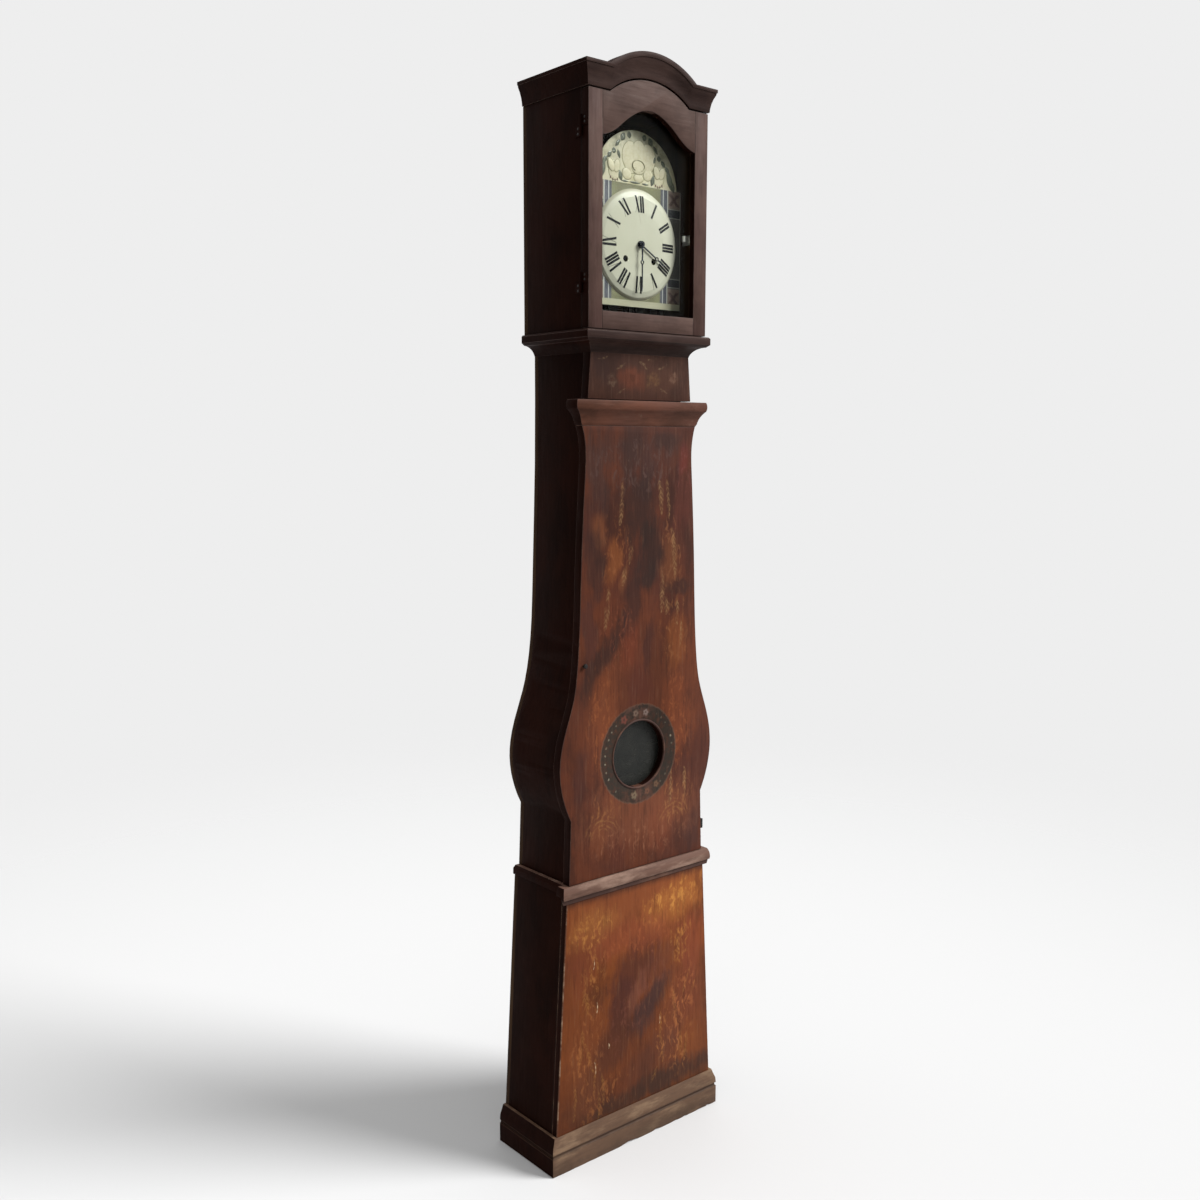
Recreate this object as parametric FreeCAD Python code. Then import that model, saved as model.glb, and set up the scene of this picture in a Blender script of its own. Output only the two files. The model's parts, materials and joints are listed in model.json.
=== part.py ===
import FreeCAD, Part
import math
import os
from FreeCAD import Vector

# Longcase clock with a violin-shaped trunk. Millimetres, x to the right, y to the back, z up.
# The origin is on the floor, under the middle of the case.

# Heights, stacked from the floor up
plinth_height = 84.0
base_height = 516.0
waist_height = 37.0
door_height = 964.0
shelf_height = 53.0
neck_height = 94.0
hood_base_height = 43.0
hood_height = 463.0
cornice_height = 46.0
cornice_arch_rise = 40.0

# Depth of the trunk, from the back plane to its front, and how far the other fronts stand proud of it
trunk_depth = 187.0
plinth_proud = 8.0
waist_proud = 8.0
shelf_proud = 13.5
hood_proud = 24.0
hood_base_proud = 32.0
cornice_proud = 37.0

# Half-widths of the case, and how far the mouldings stand proud of its sides
base_foot_half = 236.0
base_top_half = 201.0
neck_half = 137.5
neck_foot_flare = 7.5
hood_half = 164.5
plinth_side_proud = 12.0
waist_tip_proud = 16.0
waist_side_proud = 4.0
shelf_side_proud = 24.0
hood_base_side_proud = 34.5
cornice_side_proud = 14.5

# Trunk door outline: (height above the door foot, width beyond the base's top on each side) up to the belly's
# end, then (drop below the door top, width beyond the neck on each side)
door_foot_out = -5.5
door_corner = (141.0, -10.5)
door_belly = ((203.0, 13.0), (253.0, 19.0), (321.0, 7.5), (397.0, -18.0), (463.0, -28.5))
door_flare = ((311.0, 25.5), (101.0, 14.5), (51.0, 13.0), (0.0, 22.5))

# Carcass outline behind the door, narrower than the door, by the same measures
carcass_corner = (141.0, -17.5)
carcass_belly = ((203.0, 6.0), (253.0, 12.0), (321.0, 0.5), (397.0, -26.5), (463.0, -41.5))
carcass_upper = ((311.0, 9.0), (101.0, 2.0))

# Boards
back_thickness = 12.0
trunk_side_thickness = 14.0
base_side_thickness = 12.0
base_panel_thickness = 18.0
base_floor_thickness = 15.0
base_floor_lift = 12.0
door_thickness = 22.0
hood_side_thickness = 14.0
hood_door_thickness = 20.0
roof_thickness = 14.0
seat_thickness = 18.0
side_lap = 40.0
panel_rise = 18.0

# Clearances
door_back_gap = 0.5
door_end_gap = 1.0
hood_door_gap = 1.0
hood_door_foot_gap = 2.0
hood_door_top_gap = 3.0
running_fit = 0.05
pin_fit = 0.1
wheel_gap = 0.3
glass_slack = 0.5

# Lenticle in the trunk door
lenticle_up = 257.0
lenticle_radius = 73.0
lenticle_rebate = 6.0
glass_thickness = 3.0

# Trunk door hinges, pull and straps
hinge_heights = (53.0, 323.0)
hinge_standoff = 4.0
hinge_setback = 35.0
strap_height = 22.0
strap_thickness = 3.0
strap_length = 150.0
strap_eye_radius = 6.0
pintle_radius = 3.0
pintle_arm_height = 8.0
pintle_arm_depth = 12.0
pintle_pin_over = 3.0
pull_up = 469.0
pull_inset = 16.5
pull_radius = 5.0
pull_length = 9.0

# Hood door frame
stile_inner_half = 127.0
bottom_rail_height = 36.0
opening_shoulder = 376.0
opening_arch = ((89.0, 17.0), (66.0, 35.0), (0.0, 63.0))
glass_rebate = 6.0
glass_inset = 14.0
hood_hinge_ups = (70.0, 370.0)
hood_knuckle_radius = 3.0
hood_knuckle_length = 20.0
hood_pin_radius = 1.5
hood_axis_out = 3.0
hinge_leaf_thickness = 1.5
hinge_leaf_width = 18.0
catch_up = 206.0
catch_reach = 20.0

# Cornice
cornice_spring_half = 108.0
cornice_top_spring_half = 117.0
cornice_underarch_rise = 37.0
stop_half = 112.0
stop_rise = 42.0
stop_thickness = 10.0

# Dial
dial_up = 181.5
dial_radius = 112.5
dial_depth = 181.0
dial_plate_depth = 169.0
dial_plate_thickness = 1.2
dial_plate_half = 126.0
dial_plate_foot_up = 56.0
dial_shoulder_up = 302.0
dial_arch_half = 113.5
dial_arch_top_up = 409.0
enamel_thickness = 1.8
dial_dome_share = ((0.6, 0.10), (0.85, 0.33), (0.95, 0.62))
dial_centre_hole = 7.0
winding_hole_radius = 6.5
winding_half = 39.0
winding_drop = 31.5
hour_hand_length = 80.0
hour_ring_share = 0.65
hour_angle = 120.0
minute_hand_length = 96.0
minute_ring_share = 0.38
minute_angle = 180.0
hand_thickness = 1.5

# Movement cage
frame_half = 104.0
frame_front = -36.0
frame_back = 62.0
frame_plate = 5.0
frame_top_up = 297.0
pillar_width = 10.0
pillar_half = 94.0
bar_thickness = 4.0
front_bar_y = -32.0
rear_bar_y = 54.0
middle_bar_half = 9.0
side_bars = ((24.0, 48.0), (-53.0, -31.0), (66.0, 84.0))

# Trains: teeth and modules
great_teeth = 96
centre_leaves = 8
centre_teeth = 72
third_leaves = 10
centre_module = 0.8
third_teeth = 77
escape_leaves = 10
third_module = 0.75
escape_teeth = 30
escape_radius = 27.0
escape_rim = 9.0
cannon_teeth = 24
reverse_teeth = 72
reverse_leaves = 12
hour_teeth = 48
cannon_module = 0.6
strike_leaves = 8
strike_teeth = 72
fly_leaves = 8
strike_module = 0.8
strike_lean = 100.0
fly_lean = 76.0
arbor_radius = 2.0
centre_arbor_radius = 2.5
wheel_thickness = 3.0
great_thickness = 3.0
pinion_length = 10.0

# Tooth forms: addendum and dedendum in modules, tooth width at the tip and at the pitch line in pitches
wheel_form = (0.80, 1.10, 0.14, 0.36)
pinion_form = (0.60, 1.20, 0.16, 0.30)

# Places of the wheels along the arbors
great_y = -24.0
centre_wheel_y = -14.0
third_wheel_y = 2.0
escape_wheel_y = 20.0
cannon_y = -47.0
hour_wheel_y = -52.0
strike_great_y = 47.0
strike_wheel_y = 28.0
fly_y = 6.0
fly_vane_length = 13.0
fly_vane_half = 27.0
fly_vane_thickness = 6.0

# Barrels, lines and weights
drum_radius = 14.0
drum_front_y = 8.0
drum_length = 36.0
flange_radius = 19.0
flange_thickness = 2.5
barrel_arbor_radius = 3.0
winding_square = 4.0
ratchet_radius = 12.0
ratchet_teeth = 20
ratchet_y = -19.0
ratchet_thickness = 3.0
line_radius = 1.0
weight_radius = 36.0
weight_height = 150.0
weight_foot_z = 350.0
weight_ring_height = 30.0
line_hole_radius = 6.0

# Escapement and pendulum
anchor_rise = 34.0
anchor_span_angle = 45.0
anchor_clearance = 1.8
rod_width = 8.0
rod_thickness = 3.0
rod_y = -40.0
rod_eye_radius = 6.0
suspension_pin_radius = 1.5
loop_radius = 11.0
loop_width = 4.0
bob_radius = 72.0
bob_half_thickness = 11.0
bob_z = 894.0
nut_radius = 8.0
nut_height = 8.0
crutch_length = 42.0
seat_slot_half = 26.0

# Bell and hammer
bell_radius = 52.0
bell_height = 45.0
bell_wall = 3.0
bell_lift = 26.0
bell_y = 30.0
bell_post_radius = 4.0
hammer_x = 75.0
hammer_up = 259.0
hammer_head_radius = 7.0
hammer_gap = 1.5

# Levels and planes that follow from the sizes above
back_y = (trunk_depth + cornice_proud) / 2
front_y = back_y - trunk_depth
plinth_y = front_y - plinth_proud
waist_y = front_y - waist_proud
shelf_y = front_y - shelf_proud
hood_base_y = front_y - hood_base_proud
hood_y = front_y - hood_proud
cornice_y = front_y - cornice_proud
inner_back_y = back_y - back_thickness
door_back_y = front_y + door_thickness
carcass_front_y = door_back_y + door_back_gap
panel_back_y = front_y + base_panel_thickness
hood_door_back_y = hood_y + hood_door_thickness
hood_front_y = hood_door_back_y + hood_door_gap

waist_z = plinth_height + base_height
door_z = waist_z + waist_height
shelf_z = door_z + door_height
neck_z = shelf_z + shelf_height
hood_base_z = neck_z + neck_height
hood_z = hood_base_z + hood_base_height
cornice_z = hood_z + hood_height
shoulder_z = cornice_z + cornice_height
seat_z = hood_z - seat_thickness
panel_top_z = waist_z + panel_rise
dial_z = hood_z + dial_up
winding_z = dial_z - winding_drop
frame_top_z = hood_z + frame_top_up

carcass_foot_half = base_top_half - base_side_thickness


def curve(points):
    """One edge through the points: a line through two, an arc through three, a smooth curve through more."""
    if len(points) == 2:
        return Part.LineSegment(*points).toShape()
    if len(points) == 3:
        return Part.Arc(*points).toShape()
    spline = Part.BSplineCurve()
    spline.interpolate(points)
    return spline.toShape()


def face_of(edges):
    return Part.Face(Part.Wire(Part.__sortEdges__(edges)))


def closed_face(segments, to_point):
    """Face inside a run of segments, closed by a line from the last point to the first."""
    edges = [curve([to_point(*p) for p in segment]) for segment in segments]
    first, last = to_point(*segments[0][0]), to_point(*segments[-1][-1])
    if first.distanceToPoint(last) > 1e-6:
        edges.append(curve([last, first]))
    return face_of(edges)


def runs(points):
    """Straight segments through a list of points."""
    return [points[i:i + 2] for i in range(len(points) - 1)]


def in_xz(x, z):
    return Vector(x, 0, z)


def in_yz(y, z):
    return Vector(0, y, z)


def in_xy(x, y):
    return Vector(x, y, 0)


def along_y(face, y0, y1):
    face = face.copy()
    face.translate(Vector(0, y0, 0))
    return face.extrude(Vector(0, y1 - y0, 0))


def plate_xz(points, y0, y1):
    return along_y(closed_face(runs(points), in_xz), y0, y1)


def bar_yz(segments, x0, x1):
    face = closed_face(segments, in_yz)
    face.translate(Vector(x0, 0, 0))
    return face.extrude(Vector(x1 - x0, 0, 0))


def plate_xy(points, z0, z1):
    face = closed_face(runs(points), in_xy)
    face.translate(Vector(0, 0, z0))
    return face.extrude(Vector(0, 0, z1 - z0))


def box(x0, x1, y0, y1, z0, z1):
    return Part.makeBox(x1 - x0, y1 - y0, z1 - z0, Vector(x0, y0, z0))


def rod_along_y(x, z, radius, y0, y1):
    return Part.makeCylinder(radius, y1 - y0, Vector(x, y0, z), Vector(0, 1, 0))


def rod_along_z(x, y, radius, z0, z1):
    return Part.makeCylinder(radius, z1 - z0, Vector(x, y, z0), Vector(0, 0, 1))


def rod_between(start, end, radius):
    return Part.makeCylinder(radius, start.distanceToPoint(end), start, end - start)


def mirrored(shape):
    return shape.mirror(Vector(0, 0, 0), Vector(1, 0, 0))


def symmetric_face(right):
    """Face whose right side is the given segments, foot to top, and whose left side mirrors it."""
    edges = []
    for sign in (1, -1):
        edges += [curve([in_xz(sign * x, z) for x, z in segment]) for segment in right]
    for x, z in (right[0][0], right[-1][-1]):
        edges.append(curve([in_xz(x, z), in_xz(-x, z)]))
    return face_of(edges)


def fused(shapes):
    shapes = list(shapes)
    return shapes[0].multiFuse(shapes[1:]).removeSplitter()


def outline_curve(corner, belly, upper, end=()):
    """Points of a violin curve, from the belly's lower corner up to the door's top and beyond."""
    points = [(base_top_half + out, door_z + up) for up, out in (corner, *belly)]
    points += [(neck_half + out, shelf_z - drop) for drop, out in upper]
    return points + list(end)


def base_half(z):
    """Half-width of the sloping base at a height."""
    return base_foot_half + (base_top_half - base_foot_half) * z / panel_top_z


nodes = {}


def add(name, *solids):
    nodes[name] = Part.makeCompound(list(solids)) if len(solids) > 1 else solids[0]


# Carcass

carcass_curve = outline_curve(carcass_corner, carcass_belly, carcass_upper, [(neck_half, neck_z)])
carcass_line = [
    [(carcass_foot_half, waist_z - side_lap), (carcass_foot_half, door_z)],
    [(carcass_foot_half, door_z), carcass_curve[0]],
    carcass_curve,
    [(neck_half, neck_z), (neck_half, seat_z)],
]


def trunk_side():
    """Curved right side board of the trunk and neck, sawn to the carcass outline."""
    t = trunk_side_thickness
    outer = [curve([in_xz(x, z) for x, z in segment]) for segment in carcass_line]
    inner = [curve([in_xz(x - t, z) for x, z in segment]) for segment in carcass_line]
    ends = [curve([in_xz(x, z), in_xz(x - t, z)]) for x, z in (carcass_line[0][0], carcass_line[-1][-1])]
    return along_y(face_of(outer + inner + ends), carcass_front_y, inner_back_y)


def back_board():
    """Full-height back board, cut to the outline of base, trunk, neck and hood."""
    right = [
        [(base_foot_half, 0), (base_top_half, panel_top_z)],
        [(base_top_half, panel_top_z), (carcass_foot_half, panel_top_z)],
        [(carcass_foot_half, panel_top_z), (carcass_foot_half, door_z)],
    ]
    right += carcass_line[1:3]
    right += runs([(neck_half, neck_z), (neck_half, hood_z), (hood_half, hood_z), (hood_half, cornice_z)])
    return along_y(symmetric_face(right), inner_back_y, back_y)


def base_side():
    t = base_side_thickness
    points = [(base_foot_half, 0), (base_top_half, panel_top_z), (base_top_half - t, panel_top_z),
              (base_foot_half - t, 0), (base_foot_half, 0)]
    return plate_xz(points, panel_back_y, inner_back_y)


def base_panel():
    right = [[(base_foot_half, 0), (base_top_half, panel_top_z)]]
    return along_y(symmetric_face(right), front_y, panel_back_y)


def base_floor():
    z0, z1 = base_floor_lift, base_floor_lift + base_floor_thickness
    half = base_half(z1) - base_side_thickness
    right = [[(base_half(z0) - base_side_thickness, z0), (half, z1)]]
    return along_y(symmetric_face(right), panel_back_y, inner_back_y)


add("back_board", back_board())
add("trunk_right_side", trunk_side())
add("trunk_left_side", mirrored(trunk_side()))
add("base_sides", base_side(), mirrored(base_side()))
add("base_front_panel", base_panel())
add("base_floor_board", base_floor())


# Mouldings

def plinth_profile(proud):
    """Plinth section: plain strip, groove, then a sloped moulding; (projection, height) from the foot."""
    return [(proud, 0), (proud, plinth_height * 0.50), (proud - 2.5, plinth_height * 0.52),
            (proud - 2.5, plinth_height * 0.57), (proud, plinth_height * 0.60),
            (proud - 1.0, plinth_height * 0.74), (proud * 0.45, plinth_height * 0.90),
            (proud * 0.2, plinth_height)]


def front_moulding(profile, right_end, depth_y, wall_y):
    """Moulding across the front: its section along x, with both ends cut to the side silhouette."""
    reach = max(x for segment in right_end for x, z in segment) + 1
    return bar_yz(profile, -reach, reach).common(along_y(symmetric_face(right_end), depth_y, wall_y))


def plinth_boards():
    front = [(front_y - p, z) for p, z in plinth_profile(plinth_proud)]
    front += [(front_y, plinth_height), (front_y, 0)]
    side = [(base_foot_half + p, z) for p, z in plinth_profile(plinth_side_proud)]
    board = front_moulding(runs(front), runs(side), plinth_y, front_y)
    inner = [(base_half(plinth_height), plinth_height), (base_foot_half, 0)]
    side_return = plate_xz(side + inner + side[:1], front_y, back_y)
    return board, side_return, mirrored(side_return)


def waist_mouldings():
    """Half-round bar over the base panel's top edge, with a flat strip along each side."""
    nose_y = (waist_z + door_z) / 2
    front = [
        [(front_y, waist_z), (front_y - 3, waist_z)],
        [(front_y - 3, waist_z), (waist_y, nose_y), (front_y - 3, door_z)],
        [(front_y - 3, door_z), (panel_back_y, door_z)],
        [(panel_back_y, door_z), (panel_back_y, panel_top_z)],
        [(panel_back_y, panel_top_z), (front_y, panel_top_z)],
    ]
    tip = base_top_half + waist_tip_proud
    edge = base_top_half + waist_side_proud
    round_end = tip - (front_y - 3 - waist_y)
    end = [[(round_end, waist_z), (tip, nose_y), (round_end, door_z)]]
    bar = front_moulding(front, end, waist_y, panel_back_y)
    wall = carcass_foot_half + wheel_gap
    side = [(wall, panel_top_z), (edge, panel_top_z), (edge, door_z - 6), (edge - 6, door_z), (wall, door_z),
            (wall, panel_top_z)]
    side_return = plate_xz(side, panel_back_y, back_y)
    return bar, side_return, mirrored(side_return)


def hood_base_section(proud):
    """Cove that swells out under the hood, then a plain nose; (projection, height) segments."""
    cove_top = hood_base_z + hood_base_height * 0.5
    nose_z = hood_base_z + hood_base_height * 0.62
    return [
        [(0, hood_base_z), (proud * 0.28, hood_base_z + hood_base_height * 0.34), (proud * 0.8, cove_top)],
        [(proud * 0.8, cove_top), (proud, nose_z)],
        [(proud, nose_z), (proud, hood_z - 3)],
        [(proud, hood_z - 3), (proud - 3, hood_z)],
    ]


def hood_base_mouldings():
    front = [[(front_y - p, z) for p, z in segment] for segment in hood_base_section(hood_base_proud)]
    front += runs([front[-1][-1], (front_y, hood_z), (front_y, hood_base_z)])
    end = [[(neck_half + p, z) for p, z in segment] for segment in hood_base_section(hood_base_side_proud)]
    bar = front_moulding(front, end, hood_base_y, front_y)
    side = end + runs([end[-1][-1], (neck_half, hood_z), (neck_half, hood_base_z)])
    side_return = along_y(closed_face(side, in_xz), front_y, back_y)
    return bar, side_return, mirrored(side_return)


def shelf_section(foot, tip):
    """Shelf moulding over the trunk door: a hollow that flares up to a rounded nose."""
    def at(out, up):
        return foot + (tip - foot) * out, shelf_z + shelf_height * up

    top = (at(0.9, 0.0)[0], neck_z - door_end_gap)
    return [
        [at(0.0, 0.0), at(0.15, 0.10)],
        [at(0.15, 0.10), at(0.45, 0.40), at(0.92, 0.62)],
        [at(0.92, 0.62), at(1.0, 0.78), top],
    ]


def door_shelf():
    front = [[(y, z) for y, z in segment] for segment in shelf_section(front_y, shelf_y)]
    top = front[-1][-1]
    front += runs([top, (door_back_y, top[1]), (door_back_y, shelf_z)])
    half = neck_half + door_flare[-1][1]
    return front_moulding(front, shelf_section(half, half + shelf_side_proud), shelf_y, door_back_y)


# Cornice section: (projection beyond the hood, height above the lower line)
cornice_section = ((0.0, 0.0), (0.15, 0.0), (0.19, 0.17), (0.32, 0.37), (0.55, 0.58), (0.85, 0.77),
                   (0.88, 0.85), (1.0, 0.85))


def cornice_loft_section(y, half, lift):
    """Closed outline of the front cornice at one depth: arched lower line, ends, and arched top line."""
    z0, z1 = cornice_z + lift, shoulder_z
    lower, upper = cornice_spring_half, cornice_top_spring_half
    pieces = [
        [(-half, z0), (-lower, z0)],
        [(-lower, z0), (0, z0 + cornice_underarch_rise), (lower, z0)],
        [(lower, z0), (half, z0)],
        [(half, z0), (half, z1)],
        [(half, z1), (upper, z1)],
        [(upper, z1), (0, z1 + cornice_arch_rise), (-upper, z1)],
        [(-upper, z1), (-half, z1)],
        [(-half, z1), (-half, z0)],
    ]
    return Part.Wire([curve([Vector(x, y, z) for x, z in piece]) for piece in pieces])


def cornice_mouldings():
    proud = hood_y - cornice_y
    sections = [cornice_loft_section(hood_front_y, hood_half, 0.0)]
    sides = []
    for out, up in cornice_section:
        y, half = hood_y - out * proud, hood_half + out * cornice_side_proud
        z0 = cornice_z + up * cornice_height
        sections.append(cornice_loft_section(y, half, up * cornice_height))
        corners = ((y, z0), (back_y, z0), (back_y, shoulder_z), (y, shoulder_z), (y, z0))
        sides.append(Part.makePolygon([Vector(half, b, c) for b, c in corners]))
    front = Part.makeLoft(sections, True, True)
    side_return = Part.makeLoft(sides, True, True)
    return front, side_return, mirrored(side_return)


add("plinth_boards", *plinth_boards())
add("waist_mouldings", *waist_mouldings())
add("hood_base_mouldings", *hood_base_mouldings())
add("cornice_mouldings", *cornice_mouldings())


# Neck and hood boards

def neck_panel():
    foot = (neck_half + neck_foot_flare, neck_z + door_end_gap)
    right = runs([foot, (neck_half, hood_base_z), (neck_half, seat_z)])
    return along_y(symmetric_face(right), front_y, carcass_front_y)


line_x = winding_half + drum_radius + wheel_gap + line_radius
line_y = drum_front_y + drum_length / 2


def seat_board():
    board = box(-neck_half, neck_half, front_y, inner_back_y, seat_z, hood_z)
    rod_back = rod_y + rod_thickness
    board = board.cut(box(-seat_slot_half, seat_slot_half, rod_y - 8, rod_back + 8, seat_z - 1, hood_z + 1))
    for sign in (1, -1):
        board = board.cut(rod_along_z(sign * line_x, line_y, line_hole_radius, seat_z - 1, hood_z + 1))
    return board


def hood_side():
    return box(hood_half - hood_side_thickness, hood_half, hood_front_y, inner_back_y, hood_z, cornice_z)


def hood_stop():
    """Arched board on the roof's front edge, which closes the space behind the cornice's arch."""
    z = cornice_z + roof_thickness
    arch = [(stop_half, z), (0, z + stop_rise), (-stop_half, z)]
    face = closed_face([[(-stop_half, z), (stop_half, z)], arch], in_xz)
    return along_y(face, hood_front_y, hood_front_y + stop_thickness)


hood_roof = box(-hood_half, hood_half, hood_front_y, back_y, cornice_z, cornice_z + roof_thickness)
add("neck_panel", neck_panel())
add("seat_board", seat_board())
add("hood_sides", hood_side(), mirrored(hood_side()))
add("hood_roof", hood_roof, hood_stop())


# Trunk door

hinge_x = base_top_half + max(out for up, out in carcass_belly) + hinge_standoff
hinge_y = door_back_y + hinge_setback


def door_outline():
    side = outline_curve(door_corner, door_belly, door_flare)
    return symmetric_face([[(base_top_half + door_foot_out, door_z + door_end_gap), side[0]], side])


def strap_recess(z, slack):
    start = hinge_x - strap_length
    return box(start - slack, hinge_x + 20, door_back_y - strap_thickness - slack, door_back_y + 1,
               z - strap_height / 2 - slack, z + strap_height / 2 + slack)


def trunk_door():
    board = along_y(door_outline(), front_y, door_back_y)
    z = door_z + lenticle_up
    board = board.cut(rod_along_y(0, z, lenticle_radius, front_y - 1, door_back_y + 1))
    rebate_y = door_back_y - lenticle_rebate
    board = board.cut(rod_along_y(0, z, lenticle_radius + lenticle_rebate, rebate_y, door_back_y + 1))
    for up in hinge_heights:
        board = board.cut(strap_recess(door_z + up, 0.0))
    return board


def lenticle_glass():
    y0 = door_back_y - lenticle_rebate
    radius = lenticle_radius + lenticle_rebate - glass_slack
    return rod_along_y(0, door_z + lenticle_up, radius, y0, y0 + glass_thickness)


def hinge_strap(z):
    """Strap let into the door's back, cranked round the carcass to an eye on the hinge axis."""
    t = strap_thickness
    y0 = door_back_y - t
    start, left, right = hinge_x - strap_length, hinge_x - t / 2, hinge_x + t / 2
    crank = [(start, y0), (right, y0), (right, hinge_y), (left, hinge_y), (left, door_back_y),
             (start, door_back_y), (start, y0)]
    z0, z1 = z - strap_height / 2, z + strap_height / 2
    eye = rod_along_z(hinge_x, hinge_y, strap_eye_radius, z0, z1)
    strap = fused([plate_xy(crank, z0, z1), eye])
    return strap.cut(rod_along_z(hinge_x, hinge_y, pintle_radius + pin_fit, z0 - 1, z1 + 1))


def pintle(z):
    """Arm on the carcass side with an upright pin, which the strap's eye drops onto."""
    top = z - strap_height / 2 - wheel_gap
    deep = pintle_arm_depth / 2
    foot = top - pintle_arm_height
    arm = box(neck_half, hinge_x + strap_eye_radius, hinge_y - deep, hinge_y + deep, foot, top)
    pin = rod_along_z(hinge_x, hinge_y, pintle_radius, top, z + strap_height / 2 + pintle_pin_over)
    solids = fused([arm, pin]).cut(nodes["trunk_right_side"]).Solids
    return max(solids, key=lambda solid: solid.CenterOfMass.x)


def door_pull():
    """Small turned knob near the door's left edge."""
    x, z = pull_inset - base_top_half - door_belly[-1][1], door_z + pull_up
    stem = rod_along_y(x, z, pull_radius * 0.45, front_y - pull_length * 0.6, front_y)
    head = Part.makeSphere(pull_radius, Vector(x, front_y - pull_length * 0.6, z))
    head = head.common(box(x - 9, x + 9, front_y - pull_length, front_y - pull_length * 0.2, z - 9, z + 9))
    return fused([stem, head])


add("trunk_door_board", trunk_door())
add("door_shelf_moulding", door_shelf())
add("lenticle_glass", lenticle_glass())
add("door_hinge_straps", *[hinge_strap(door_z + up) for up in hinge_heights])
add("door_pintles", *[pintle(door_z + up) for up in hinge_heights])
add("door_pull", door_pull())


# Hood door

opening_foot_z = hood_z + bottom_rail_height + hood_door_foot_gap
opening_shoulder_z = hood_z + opening_shoulder
door_foot_z = hood_z + hood_door_foot_gap
hood_stile_half = hood_half - hood_door_gap


def opening_face(margin):
    """Opening of the hood door, with its ogee-arched head, grown by a margin all round."""
    half = stile_inner_half + margin
    arch = [(half, opening_shoulder_z + margin)]
    arch += [(x, opening_shoulder_z + up + margin) for x, up in opening_arch]
    arch += [(-x, z) for x, z in reversed(arch[:-1])]
    foot = opening_foot_z - margin
    sides = [[(-half, foot), (half, foot)], [(half, foot), arch[0]], arch, [arch[-1], (-half, foot)]]
    return closed_face(sides, in_xz)


def hood_door_blank():
    """Whole outline of the hood door: square shoulders and an arched head under the cornice."""
    top = cornice_z - hood_door_top_gap
    spring, half = cornice_spring_half, hood_stile_half
    face = closed_face([
        [(-half, door_foot_z), (half, door_foot_z)],
        [(half, door_foot_z), (half, top)],
        [(half, top), (spring, top)],
        [(spring, top), (0, top + cornice_underarch_rise), (-spring, top)],
        [(-spring, top), (-half, top)],
    ], in_xz)
    blank = along_y(face, hood_y, hood_door_back_y)
    blank = blank.cut(along_y(opening_face(0.0), hood_y - 1, hood_door_back_y + 1))
    return blank.cut(along_y(opening_face(glass_rebate), hood_y + glass_inset, hood_door_back_y + 1))


def frame_piece(blank, x0, x1, z0, z1):
    return blank.common(box(x0, x1, hood_y - 1, hood_door_back_y + 1, z0, z1))


blank = hood_door_blank()
inner = stile_inner_half
above = shoulder_z + cornice_arch_rise
add("hood_door_stiles", frame_piece(blank, inner, hood_half, door_foot_z, above),
    frame_piece(blank, -hood_half, -inner, door_foot_z, above))
add("hood_door_top_rail", frame_piece(blank, -inner, inner, opening_shoulder_z - glass_rebate, above))
add("hood_door_bottom_rail", frame_piece(blank, -inner, inner, door_foot_z, opening_foot_z))
pane = opening_face(glass_rebate - glass_slack)
add("hood_door_glass", along_y(pane, hood_y + glass_inset, hood_y + glass_inset + glass_thickness))

hood_axis_x = -(hood_half + hood_axis_out)
hood_axis_y = hood_door_back_y


def hood_hinge(z):
    """Fixed half of one hood hinge: leaf on the hood side, lower knuckle and pin."""
    z1 = z + hood_knuckle_length
    wall = -hood_half
    leaf = box(wall - hinge_leaf_thickness, wall, hood_front_y, hood_front_y + hinge_leaf_width, z, z1)
    knuckle = rod_along_z(hood_axis_x, hood_axis_y, hood_knuckle_radius, z, z1)
    bridge = box(hood_axis_x, wall - hinge_leaf_thickness / 2, hood_axis_y, hood_front_y + 2, z, z1)
    pin = rod_along_z(hood_axis_x, hood_axis_y, hood_pin_radius, z1, z1 + hood_knuckle_length)
    return fused([leaf, knuckle, bridge, pin])


def hood_hinge_leaf(z):
    """Moving half of one hood hinge: leaf on the stile's edge and upper knuckle over the pin."""
    z0, z1 = z + hood_knuckle_length + wheel_gap, z + 2 * hood_knuckle_length
    edge = -hood_stile_half
    leaf = box(edge - hinge_leaf_thickness, edge, hood_axis_y - hinge_leaf_width, hood_axis_y - 1, z0, z1)
    bridge = box(hood_axis_x, edge - hinge_leaf_thickness / 2, hood_axis_y - 3, hood_axis_y - 1, z0, z1)
    knuckle = rod_along_z(hood_axis_x, hood_axis_y, hood_knuckle_radius, z0, z1)
    bore = rod_along_z(hood_axis_x, hood_axis_y, hood_pin_radius + pin_fit, z0 - 1, z1 + 1)
    return fused([leaf, bridge, knuckle]).cut(bore)


def catch_clip():
    """Brass spring clip on the hood's inner wall, which the closed hood door presses on."""
    wall = hood_half - hood_side_thickness
    z = hood_z + catch_up
    y0 = hood_door_back_y + 4
    base = box(wall - 2, wall, y0 + 8, y0 + 34, z - 10, z + 10)
    arm = box(wall - catch_reach, wall, y0 + 12, y0 + 15, z - 6, z + 6)
    curl = rod_along_z(wall - catch_reach, y0 + 10, 5.0, z - 6, z + 6)
    return fused([base, arm, curl])


add("hood_hinge_plates", *[hood_hinge(hood_z + up) for up in hood_hinge_ups])
add("hood_door_hinge_leaves", *[hood_hinge_leaf(hood_z + up) for up in hood_hinge_ups])
add("hood_catch_clip", catch_clip())


# Dial

dial_y = back_y - dial_depth
dial_plate_y = back_y - dial_plate_depth


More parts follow.
